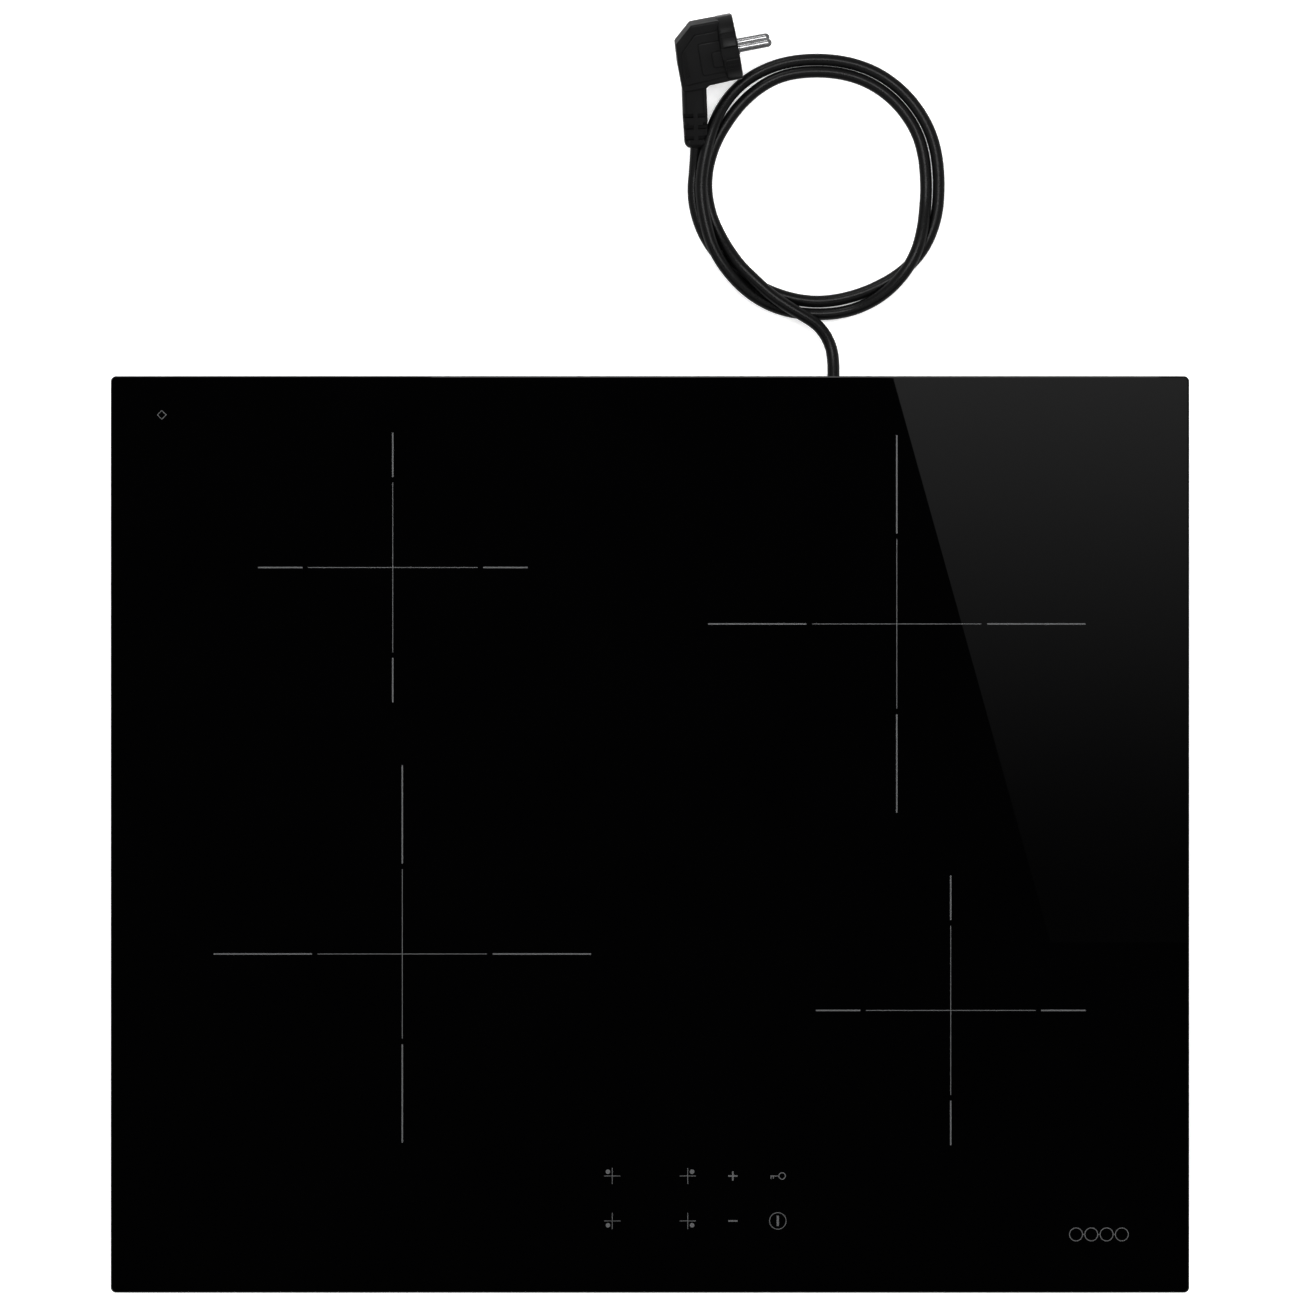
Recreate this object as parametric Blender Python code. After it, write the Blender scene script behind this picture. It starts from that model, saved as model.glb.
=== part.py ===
"""Built-in induction hob, 60 cm wide, with four cooking zones and a fitted mains lead.

Frame: metres, +X to the user's right, +Y to the rear, +Z up. The origin is the middle of the
hob's underside, so the hob stands on z = 0 and the mains lead lies on the same surface.
"""

import math

import bmesh
import bpy
from mathutils import Matrix, Vector

# ---------------------------------------------------------------- driving dimensions (metres)
GAP = 0.0003  # kept between neighbouring pieces

GLASS_WIDTH = 0.600
GLASS_DEPTH = 0.510
GLASS_THICK = 0.004
GLASS_CORNER = 0.003
GLASS_POLISH = 0.0006
HOB_HEIGHT = 0.053

SHEET = 0.001  # steel and aluminium sheet
TRAY_WIDTH = 0.530
TRAY_DEPTH = 0.450
TRAY_CORNER = 0.006
TRAY_BEND = 0.0015
TRAY_HEIGHT = 0.0455
TRAY_FLANGE = 0.0107

FRAME_WIDTH = 0.554
FRAME_DEPTH = 0.474
FRAME_CORNER = 0.018
FRAME_SKIRT = 0.0116
FRAME_LEG = 0.017
FRAME_TOP = 0.0476

SEAL_WIDTH = 0.594
SEAL_DEPTH = 0.504
SEAL_BAND = 0.010
SEAL_THICK = 0.0025
ADHESIVE_BAND = 0.013
ADHESIVE_THICK = 0.0008

COIL_PLATE_WIDTH = 0.520
COIL_PLATE_DEPTH = 0.440
COIL_PLATE_TOP = 0.0362
FORMER_HEIGHT = 0.0052
WINDING_HEIGHT = 0.0046
INSULATION_THICK = 0.0018
SMALL_COIL_RADIUS = 0.067
LARGE_COIL_RADIUS = 0.092
ZONES = {  # middle of each cooking zone, and its winding's radius
    "rear_left": (-0.1431, 0.1485, SMALL_COIL_RADIUS),
    "front_left": (-0.1378, -0.0665, LARGE_COIL_RADIUS),
    "rear_right": (0.1373, 0.1171, LARGE_COIL_RADIUS),
    "front_right": (0.1673, -0.0979, SMALL_COIL_RADIUS),
}

BOARD_THICK = 0.0016
BOARD_BOTTOM = 0.008
POWER_BOARD_WIDTH = 0.202
POWER_BOARD_DEPTH = 0.198
POWER_BOARD_X = 0.120
POWER_BOARD_Y = -0.041
HEATSINK_X = 0.050
HEATSINK_WIDTH = 0.052
HEATSINK_LENGTH = 0.170
HEATSINK_TOP = 0.0315
FIN_COUNT = 9
FIN_THICK = 0.002
FILTER_BOARD = (-0.145, 0.152)
FILTER_BOARD_SIZE = (0.140, 0.116)

FAN_X = 0.0
FAN_Y = 0.150
FAN_RADIUS = 0.033
FAN_BLADES = 18
FAN_BOTTOM = 0.0045
FAN_TOP = 0.027
FAN_HOUSING_TOP = 0.033
FAN_WALL = 0.002
FAN_INLET_RADIUS = 0.030
FAN_OUTLET_Y = 0.100

TOUCH_X = 0.025
TOUCH_Y = -0.1995
TOUCH_WIDTH = 0.136
TOUCH_DEPTH = 0.040

CORD_DIAMETER = 0.0068
CORD_X = 0.103  # where the lead leaves the rear wall
CORD_Z = 0.014
GLAND_END_Y = 0.250

TERMINAL_FRONT = 0.149
TERMINAL_REAR = 0.221
TERMINAL_WIDTH = 0.076
TERMINAL_TOP = 0.031
TERMINAL_WALL = 0.002
OPENING_LIP = 0.003  # how far the floor opening stays inside the terminal box's outline
COVER_HINGE_Y = 0.1543
COVER_HINGE_Z = 0.0017
COVER_THICK = 0.002
COVER_BARREL = 0.0015
HINGE_PIN_RADIUS = 0.0007

CLAMP_X = 0.2715
CLAMP_Y = 0.120
CLAMP_WIDTH = 0.010
CLAMP_REACH = 0.043
CLAMP_BOTTOM = 0.006
CLAMP_RISE = 0.004
CLAMP_THICK = 0.002
CLAMP_SCREW_RADIUS = 0.002

COIL_X = 0.0933  # middle of the turns of the mains lead
COIL_Y = 0.3631
COIL_INNER = 0.0568
COIL_OUTER = 0.0765
COIL_HEIGHT = 0.0141

# The lead from its gland to the turns, as it lies behind the hob.
CORD_TAIL = [
    (0.1030, 0.2510, 0.0136),
    (0.1031, 0.2576, 0.0121),
    (0.1030, 0.2646, 0.0104),
    (0.1020, 0.2718, 0.0093),
    (0.0992, 0.2787, 0.0092),
    (0.0956, 0.2836, 0.0096),
]

PLUG_FACE = (0.0490, 0.4417)  # middle of the plug's face, seen from above
PLUG_YAW = math.radians(10.7)
PLUG_ROLL = math.radians(14.0)
PLUG_RADIUS = 0.0185
PLUG_DISC = 0.010
PLUG_BACK = 0.0349
PLUG_BODY_THICK = 0.022
NECK_ROOT = (-0.0284, -0.0205)  # start of the neck's axis, behind the face and towards the cable
NECK_LEAN = math.radians(8.3)
NECK_WIDTH = 0.0137
NECK_LENGTH = 0.0160
RELIEF_LENGTH = 0.0158
PIN_RADIUS = 0.0024
PIN_LENGTH = 0.019
PIN_SPACING = 0.019

FINE = 32  # sides of the larger round pieces
COARSE = 14  # sides of the small ones

# Heights that follow from the dimensions above.
GLASS_BOTTOM = HOB_HEIGHT - GLASS_THICK
SEAL_TOP = GLASS_BOTTOM - GAP
FORMER_BOTTOM = COIL_PLATE_TOP + GAP
WINDING_BOTTOM = FORMER_BOTTOM + FORMER_HEIGHT + GAP
INSULATION_BOTTOM = WINDING_BOTTOM + WINDING_HEIGHT + GAP
FLOOR = SHEET + GAP  # lowest height of anything that stands on the tray's floor


# ---------------------------------------------------------------- helpers
def make_material(name, colour, roughness, metallic=0.0):
    material = bpy.data.materials.new(name)
    material.use_nodes = True
    shader = material.node_tree.nodes["Principled BSDF"]
    shader.inputs["Base Color"].default_value = (*colour, 1.0)
    shader.inputs["Roughness"].default_value = roughness
    shader.inputs["Metallic"].default_value = metallic
    return material


def add_object(name, bm, material=None, location=(0, 0, 0), angle=30):
    """Closes a bmesh into a named object with outward faces, shaded smooth up to an angle."""
    bmesh.ops.remove_doubles(bm, verts=bm.verts, dist=0.000001)
    bmesh.ops.recalc_face_normals(bm, faces=bm.faces)
    mesh = bpy.data.meshes.new(name)
    bm.to_mesh(mesh)
    bm.free()
    mesh.shade_smooth()
    mesh.set_sharp_from_angle(angle=math.radians(angle))
    item = bpy.data.objects.new(name, mesh)
    item.location = location
    bpy.context.collection.objects.link(item)
    if material:
        mesh.materials.append(material)
    return item


def add_cutter(name, bm, location=(0, 0, 0)):
    cutter = add_object(name, bm, location=location)
    cutter.hide_render = True
    cutter.display_type = "WIRE"
    return cutter


def boolean(item, other, operation="DIFFERENCE"):
    modifier = item.modifiers.new(operation.title(), "BOOLEAN")
    modifier.object = other
    modifier.operation = operation
    modifier.solver = "EXACT"


def rounded_rectangle(width, depth, radius, offset=0.0, steps=5, centre=(0, 0)):
    """Outline points, counter-clockwise, grown outwards by the offset."""
    points = []
    half_x = width / 2 - radius
    half_y = depth / 2 - radius
    for quarter, (sx, sy) in enumerate(((1, 1), (-1, 1), (-1, -1), (1, -1))):
        for step in range(steps + 1):
            turn = math.pi / 2 * (quarter + step / steps)
            x = centre[0] + sx * half_x + (radius + offset) * math.cos(turn)
            y = centre[1] + sy * half_y + (radius + offset) * math.sin(turn)
            points.append((x, y))
    return points


def rectangle(width, depth, centre=(0, 0)):
    x, y = centre
    return [
        (x - width / 2, y - depth / 2),
        (x + width / 2, y - depth / 2),
        (x + width / 2, y + depth / 2),
        (x - width / 2, y + depth / 2),
    ]


def circle(radius, sides, centre=(0, 0)):
    turns = [2 * math.pi * i / sides for i in range(sides)]
    return [(centre[0] + radius * math.cos(t), centre[1] + radius * math.sin(t)) for t in turns]


def at_height(outline, z):
    return [(x, y, z) for x, y in outline]


def loft(rings, closed=False):
    """Walls between rings of equally many points, capped at both ends unless closed."""
    bm = bmesh.new()
    loops = [[bm.verts.new(point) for point in ring] for ring in rings]
    pairs = list(zip(loops, loops[1:]))
    if closed:
        pairs.append((loops[-1], loops[0]))
    else:
        bm.faces.new(loops[0])
        bm.faces.new(loops[-1])
    for lower, upper in pairs:
        for i in range(len(lower)):
            j = (i + 1) % len(lower)
            bm.faces.new((lower[i], lower[j], upper[j], upper[i]))
    return bm


def plate(outline, bottom, top, holes=()):
    """A flat sheet of any outline, with holes right through it."""
    bm = bmesh.new()
    edges = []
    for loop in (outline, *holes):
        verts = [bm.verts.new((x, y, bottom)) for x, y in loop]
        edges += [bm.edges.new((verts[i - 1], verts[i])) for i in range(len(verts))]
    bmesh.ops.triangle_fill(bm, use_beauty=True, edges=edges)
    inner = [edge for edge in bm.edges if len(edge.link_faces) == 2]
    bmesh.ops.dissolve_limit(bm, angle_limit=0.001, verts=bm.verts, edges=inner)
    lifted = bmesh.ops.extrude_face_region(bm, geom=bm.faces[:])
    verts = [g for g in lifted["geom"] if isinstance(g, bmesh.types.BMVert)]
    bmesh.ops.translate(bm, vec=(0, 0, top - bottom), verts=verts)
    return bm


def turned(profile, sides, closed=False):
    """A profile of (radius, height) points turned about Z."""
    bm = bmesh.new()
    verts = [bm.verts.new((radius, 0, height)) for radius, height in profile]
    edges = [bm.edges.new(pair) for pair in zip(verts, verts[1:])]
    if closed:
        edges.append(bm.edges.new((verts[-1], verts[0])))
    bmesh.ops.spin(
        bm,
        geom=verts + edges,
        cent=(0, 0, 0),
        axis=(0, 0, 1),
        angle=2 * math.pi,
        steps=sides,
        use_merge=True,
    )
    return bm


def boxes(sizes):
    """Separate boxes, each given by its lowest and highest corner."""
    bm = bmesh.new()
    for low, high in sizes:
        low, high = Vector(low), Vector(high)
        size = Matrix.Diagonal((*(high - low), 1.0))
        place = Matrix.Translation((low + high) / 2)
        bmesh.ops.create_cube(bm, size=1.0, matrix=place @ size)
    return bm


def rod(radius, start, end, sides=COARSE):
    """A round bar between two points."""
    start, end = Vector(start), Vector(end)
    along = end - start
    turn = Vector((0, 0, 1)).rotation_difference(along.normalized()).to_matrix().to_4x4()
    bm = bmesh.new()
    bmesh.ops.create_cone(
        bm,
        cap_ends=True,
        segments=sides,
        radius1=radius,
        radius2=radius,
        depth=along.length,
        matrix=Matrix.Translation((start + end) / 2) @ turn,
    )
    return bm


def merged(*parts):
    """Several bmeshes in one, still as separate bodies."""
    whole = bmesh.new()
    for part in parts:
        mesh = bpy.data.meshes.new("loose")
        part.to_mesh(mesh)
        part.free()
        whole.from_mesh(mesh)
        bpy.data.meshes.remove(mesh)
    return whole


def smooth_route(points, spacing):
    """Points along a smooth curve through the given ones, near the asked spacing."""
    points = [Vector(p) for p in points]
    ends = [2 * points[0] - points[1], *points, 2 * points[-1] - points[-2]]
    route = []
    for before, here, there, after in zip(ends, ends[1:], ends[2:], ends[3:]):
        steps = max(1, round((there - here).length / spacing))
        for step in range(steps):
            t = step / steps
            route.append(
                0.5
                * (
                    2 * here
                    + (there - before) * t
                    + (2 * before - 5 * here + 4 * there - after) * t**2
                    + (3 * here - before - 3 * there + after) * t**3
                )
            )
    route.append(points[-1])
    return route


def tube(name, points, radius, material, resolution=3):
    curve = bpy.data.curves.new(name, "CURVE")
    curve.dimensions = "3D"
    curve.bevel_depth = radius
    curve.bevel_resolution = resolution
    curve.use_fill_caps = True
    spline = curve.splines.new("POLY")
    spline.points.add(len(points) - 1)
    for spot, point in zip(spline.points, points):
        spot.co = (*point, 1.0)
    curve.materials.append(material)
    item = bpy.data.objects.new(name, curve)
    bpy.context.collection.objects.link(item)
    return item


# ---------------------------------------------------------------- start clean
for old in list(bpy.data.objects):
    bpy.data.objects.remove(old)

GLASS_BLACK = make_material("black_glass", (0.004, 0.004, 0.005), 0.06)
FOAM = make_material("seal_foam", (0.03, 0.03, 0.03), 0.9)
SILICONE = make_material("glass_adhesive", (0.02, 0.02, 0.02), 0.5)
ZINC = make_material("zinc_sheet", (0.55, 0.56, 0.57), 0.35, 1.0)
FRAME_STEEL = make_material("frame_steel", (0.08, 0.08, 0.085), 0.45, 0.4)
ALUMINIUM = make_material("aluminium_sheet", (0.78, 0.79, 0.80), 0.35, 1.0)
EXTRUDED = make_material("heatsink_aluminium", (0.62, 0.63, 0.65), 0.3, 1.0)
FORMER = make_material("coil_former_plastic", (0.05, 0.05, 0.05), 0.6)
COPPER = make_material("winding_copper", (0.55, 0.22, 0.09), 0.35, 1.0)
MICA = make_material("insulation_mica", (0.62, 0.58, 0.50), 0.8)
SENSOR = make_material("sensor_ceramic", (0.80, 0.78, 0.74), 0.5)
BOARD_GREEN = make_material("circuit_board", (0.02, 0.12, 0.05), 0.45)
CARRIER = make_material("carrier_plastic", (0.10, 0.10, 0.10), 0.55)
FERRITE = make_material("choke_core", (0.06, 0.055, 0.05), 0.5)
CAPACITOR = make_material("capacitor_case", (0.45, 0.30, 0.03), 0.4)
FAN_PLASTIC = make_material("fan_plastic", (0.03, 0.03, 0.03), 0.45)
MOTOR_STEEL = make_material("motor_steel", (0.5, 0.5, 0.5), 0.3, 1.0)
DISPLAY = make_material("display_case", (0.75, 0.75, 0.73), 0.5)
RIBBON = make_material("ribbon_grey", (0.40, 0.41, 0.42), 0.5)
TERMINAL = make_material("terminal_plastic", (0.06, 0.06, 0.06), 0.5)
BLOCK = make_material("terminal_block_plastic", (0.70, 0.69, 0.65), 0.45)
SCREW_STEEL = make_material("screw_steel", (0.60, 0.60, 0.60), 0.3, 1.0)
CLAMP_STEEL = make_material("clamp_steel", (0.60, 0.58, 0.50), 0.35, 1.0)
CORD_BLACK = make_material("cord_black", (0.012, 0.012, 0.012), 0.45)
PLUG_BLACK = make_material("plug_black", (0.015, 0.015, 0.015), 0.5)
PIN_NICKEL = make_material("pin_nickel", (0.72, 0.71, 0.69), 0.2, 1.0)


# ---------------------------------------------------------------- glass, seal and frame
def make_glass():
    rings = (
        (-GLASS_POLISH / 2, GLASS_BOTTOM),
        (0.0, GLASS_BOTTOM + GLASS_POLISH / 2),
        (0.0, HOB_HEIGHT - GLASS_POLISH),
        (-GLASS_POLISH, HOB_HEIGHT),
    )
    outline = (GLASS_WIDTH, GLASS_DEPTH, GLASS_CORNER)
    bm = loft([at_height(rounded_rectangle(*outline, offset), z) for offset, z in rings])
    add_object("glass_plate", bm, GLASS_BLACK)


def make_band(name, width, depth, corner, band, bottom, top, material):
    """A flat ring that follows a rounded rectangle, its band running inwards."""
    rings = ((0.0, bottom), (0.0, top), (-band, top), (-band, bottom))
    outline = (width, depth, corner)
    bm = loft([at_height(rounded_rectangle(*outline, o), z) for o, z in rings], closed=True)
    return add_object(name, bm, material)


def make_frame():
    section = (
        (0.0, FRAME_TOP - FRAME_SKIRT),
        (0.0, FRAME_TOP),
        (-FRAME_LEG, FRAME_TOP),
        (-FRAME_LEG, FRAME_TOP - SHEET),
        (-SHEET, FRAME_TOP - SHEET),
        (-SHEET, FRAME_TOP - FRAME_SKIRT),
    )
    outline = (FRAME_WIDTH, FRAME_DEPTH, FRAME_CORNER)
    bm = loft([at_height(rounded_rectangle(*outline, o), z) for o, z in section], closed=True)
    add_object("support_frame", bm, FRAME_STEEL)


# ---------------------------------------------------------------- base tray
def slot_row(count, pitch, centre, width, length, z_low, z_high):
    """Slots side by side along X, each long in Y."""
    cx, cy = centre
    rows = []
    for i in range(count):
        x = cx + (i - (count - 1) / 2) * pitch
        low = (x - width / 2, cy - length / 2, z_low)
        high = (x + width / 2, cy + length / 2, z_high)
        rows.append((low, high))
    return rows


def fan_grille():
    """Slots below the blower, as long as its round inlet is wide, with a rib across the middle."""
    slots = []
    pitch, width, rib, reach = 0.009, 0.005, 0.005, 0.034
    for i in range(8):
        y = (i - 3.5) * pitch
        half = math.sqrt(reach**2 - y**2)
        for low, high in ((-half, -rib / 2), (rib / 2, half)):
            slots.append(
                (
                    (FAN_X + low, FAN_Y + y - width / 2, -SHEET),
                    (FAN_X + high, FAN_Y + y + width / 2, 2 * SHEET),
                )
            )
    return slots


def make_tray():
    bend = TRAY_BEND
    section = (
        (-bend, 0.0),
        (0.0, bend),
        (0.0, TRAY_HEIGHT - SHEET),
        (TRAY_FLANGE, TRAY_HEIGHT - SHEET),
        (TRAY_FLANGE, TRAY_HEIGHT),
        (-SHEET, TRAY_HEIGHT),
        (-SHEET, bend),
        (-bend, SHEET),
    )
    outline = (TRAY_WIDTH, TRAY_DEPTH, TRAY_CORNER)
    bm = loft([at_height(rounded_rectangle(*outline, o), z) for o, z in section])
    tray = add_object("base_tray", bm, ZINC)

    floor = (-SHEET, 2 * SHEET)
    wall = 3 * SHEET
    front = -TRAY_DEPTH / 2
    rear = TRAY_DEPTH / 2
    vents = fan_grille()
    for side in (-1, 1):
        vents += slot_row(10, 0.011, (side * 0.115, -0.193), 0.005, 0.034, *floor)
        vents += slot_row(8, 0.014, (side * 0.115, front), 0.009, 2 * wall, 0.024, 0.029)
    vents += slot_row(8, 0.014, (-0.150, rear), 0.009, 2 * wall, 0.024, 0.029)
    vents += slot_row(4, 0.014, (0.200, rear), 0.009, 2 * wall, 0.024, 0.029)
    lip = OPENING_LIP
    half = TERMINAL_WIDTH / 2 - lip
    opening = (
        (CORD_X - half, TERMINAL_FRONT + lip, floor[0]),
        (CORD_X + half, TERMINAL_REAR - lip, floor[1]),
    )
    boolean(tray, add_cutter("tray_vents", boxes([*vents, opening])))
    holes = [rod(0.0075, (CORD_X, rear - wall, CORD_Z), (CORD_X, rear + wall, CORD_Z))]
    for x, y in clamp_places():
        z = TRAY_HEIGHT
        holes.append(rod(CLAMP_SCREW_RADIUS + GAP, (x, y, z - wall), (x, y, z + wall), 10))
    boolean(tray, add_cutter("tray_holes", merged(*holes)))


# ---------------------------------------------------------------- coils
def make_coil_plate():
    holes = [circle(0.012, 12, (x, y)) for x, y, _ in ZONES.values()]
    holes.append(rectangle(0.026, 0.009, (0.070, -0.1750)))
    outline = rounded_rectangle(COIL_PLATE_WIDTH, COIL_PLATE_DEPTH, 0.004, steps=2)
    bm = plate(outline, COIL_PLATE_TOP - SHEET, COIL_PLATE_TOP, holes)
    coil_plate = add_object("coil_plate", bm, ALUMINIUM)
    legs = []
    top = COIL_PLATE_TOP - SHEET / 2
    for side in (-1, 1):
        outer = side * COIL_PLATE_WIDTH / 2
        inner = outer - side * SHEET
        foot = outer - side * 0.010
        outline = [(outer, FLOOR), (outer, top), (inner, top)]
        outline += [(inner, FLOOR + SHEET), (foot, FLOOR + SHEET), (foot, FLOOR)]
        for y in (-0.180, 0.0, 0.180):
            legs.append(loft([[(x, end, z) for x, z in outline] for end in (y - 0.020, y + 0.020)]))
    leg_object = add_cutter("coil_plate_legs", merged(*legs))
    boolean(coil_plate, leg_object, "UNION")


def make_former(zone, x, y, radius):
    """An open wheel: hub, rim and eight spokes, which carry the ferrite bars."""
    hub, rim, spoke = 0.020, 0.006, 0.009
    windows = []
    count = 8
    for i in range(count):
        middle = 2 * math.pi * (i + 0.5) / count
        outline = []
        for r, direction in ((radius - rim, 1), (hub, -1)):
            half = math.pi / count - spoke / 2 / r
            for step in (-1, 0, 1) if r > hub else (-1, 1):
                turn = middle + direction * step * half
                outline.append((r * math.cos(turn), r * math.sin(turn)))
        windows.append(outline)
    bm = plate(circle(radius, FINE), FORMER_BOTTOM, FORMER_BOTTOM + FORMER_HEIGHT, windows)
    add_object(f"coil_former_{zone}", bm, FORMER, (x, y, 0))


def make_ring(name, inner, outer, bottom, top, material, place, sides=FINE):
    profile = ((inner, bottom), (outer, bottom), (outer, top), (inner, top))
    add_object(name, turned(profile, sides, closed=True), material, (*place, 0))


def make_coils():
    for zone, (x, y, radius) in ZONES.items():
        make_former(zone, x, y, radius)
        top = WINDING_BOTTOM + WINDING_HEIGHT
        make_ring(f"winding_{zone}", 0.022, radius, WINDING_BOTTOM, top, COPPER, (x, y))
        top = INSULATION_BOTTOM + INSULATION_THICK
        disc = f"insulation_disc_{zone}"
        make_ring(disc, 0.008, radius + 0.003, INSULATION_BOTTOM, top, MICA, (x, y))
        profile = ((0, WINDING_BOTTOM), (0.009, WINDING_BOTTOM), (0.009, WINDING_BOTTOM + 0.002))
        profile += ((0.005, WINDING_BOTTOM + 0.002), (0.005, top - GAP), (0, top - GAP))
        add_object(f"temperature_sensor_{zone}", turned(profile, COARSE), SENSOR, (x, y, 0))


# ---------------------------------------------------------------- power electronics
def make_carrier():
    """The plastic base under both power boards, with a post below each corner and edge."""
    width = 2 * POWER_BOARD_X + POWER_BOARD_WIDTH + 0.010
    depth = POWER_BOARD_DEPTH + 0.010
    bm = plate(rectangle(width, depth, (0, POWER_BOARD_Y)), FLOOR, FLOOR + 0.002)
    carrier = add_object("electronics_carrier", bm, CARRIER)
    posts = []
    size = 0.006
    for board in (-1, 1):
        for dx in (-0.094, 0.0, 0.094):
            for dy in (-0.092, 0.092):
                x = board * POWER_BOARD_X + dx
                y = POWER_BOARD_Y + dy
                low = (x - size / 2, y - size / 2, FLOOR + 0.001)
                posts.append((low, (x + size / 2, y + size / 2, BOARD_BOTTOM - GAP)))
    boolean(carrier, add_cutter("carrier_posts", boxes(posts)), "UNION")


def make_power_board(side, name):
    """Board with its film capacitors, transformer, coil terminals and connectors."""
    x, y = side * POWER_BOARD_X, POWER_BOARD_Y
    top = BOARD_BOTTOM + BOARD_THICK
    bm = plate(rectangle(POWER_BOARD_WIDTH, POWER_BOARD_DEPTH, (x, y)), BOARD_BOTTOM, top)
    board = add_object(name, bm, BOARD_GREEN)
    components = (  # offset from the board's middle (outwards, to the rear), then the size
        (0.010, -0.060, 0.034, 0.020, 0.022),
        (0.010, -0.030, 0.034, 0.020, 0.022),
        (0.055, -0.060, 0.030, 0.026, 0.020),
        (0.055, -0.015, 0.026, 0.030, 0.018),
        (0.010, 0.015, 0.034, 0.024, 0.016),
        (0.060, 0.045, 0.020, 0.040, 0.012),
        (0.015, 0.060, 0.040, 0.016, 0.010),
    )
    solids = []
    for dx, dy, width, depth, height in components:
        cx, cy = x + side * dx, y + dy
        low = (cx - width / 2, cy - depth / 2, top - 0.0008)
        solids.append((low, (cx + width / 2, cy + depth / 2, top + height)))
    boolean(board, add_cutter(f"{name}_components", boxes(solids)), "UNION")


def make_heatsink(side, name):
    base = 0.003
    bottom = BOARD_BOTTOM + BOARD_THICK + GAP
    pitch = (HEATSINK_WIDTH - FIN_THICK) / (FIN_COUNT - 1)
    outline = [(-HEATSINK_WIDTH / 2, bottom), (HEATSINK_WIDTH / 2, bottom)]
    for i in reversed(range(FIN_COUNT)):
        left = -HEATSINK_WIDTH / 2 + i * pitch
        right = left + FIN_THICK
        if i < FIN_COUNT - 1:
            outline.append((right, bottom + base))
        outline += [(right, HEATSINK_TOP), (left, HEATSINK_TOP)]
        if i > 0:
            outline.append((left, bottom + base))
    front = POWER_BOARD_Y - HEATSINK_LENGTH / 2
    ends = (front, front + HEATSINK_LENGTH)
    bm = loft([[(side * HEATSINK_X + u, y, z) for u, z in outline] for y in ends])
    add_object(name, bm, EXTRUDED)


def make_filter():
    x, y = FILTER_BOARD
    width, depth = FILTER_BOARD_SIZE
    top = BOARD_BOTTOM + BOARD_THICK
    bm = plate(rectangle(width, depth, (x, y)), BOARD_BOTTOM, top)
    board = add_object("filter_board", bm, BOARD_GREEN)
    pillars = []
    for sx in (-1, 1):
        for sy in (-1, 1):
            cx = x + sx * (width / 2 - 0.008)
            cy = y + sy * (depth / 2 - 0.008)
            low = (cx - 0.004, cy - 0.004, FLOOR)
            pillars.append((low, (cx + 0.004, cy + 0.004, BOARD_BOTTOM + 0.0008)))
    boolean(board, add_cutter("filter_pillars", boxes(pillars)), "UNION")
    make_ring("filter_choke", 0.009, 0.020, top + GAP, top + 0.018, FERRITE, (x + 0.025, y), 20)
    low = (x - 0.052, y - 0.045, top + GAP)
    add_object("filter_capacitor", boxes([(low, (x - 0.020, y - 0.025, top + 0.024))]), CAPACITOR)


# ---------------------------------------------------------------- blower and air guide
def scroll_outline(inset):
    """Blower casing seen from above: the wall winds outwards and ends in a straight outlet."""
    start, end = math.radians(-95), math.radians(180)
    inner, outer = 0.037 - inset, 0.046 - inset
    front = FAN_OUTLET_Y - (0.005 if inset else 0.0)
    outline = [(FAN_X - outer, front), (FAN_X - 0.004 - inset, front)]
    steps = 16
    for i in range(steps + 1):
        share = i / steps
        turn = start + (end - start) * share
        r = inner + (outer - inner) * share
        outline.append((FAN_X + r * math.cos(turn), FAN_Y + r * math.sin(turn)))
    return outline


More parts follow.
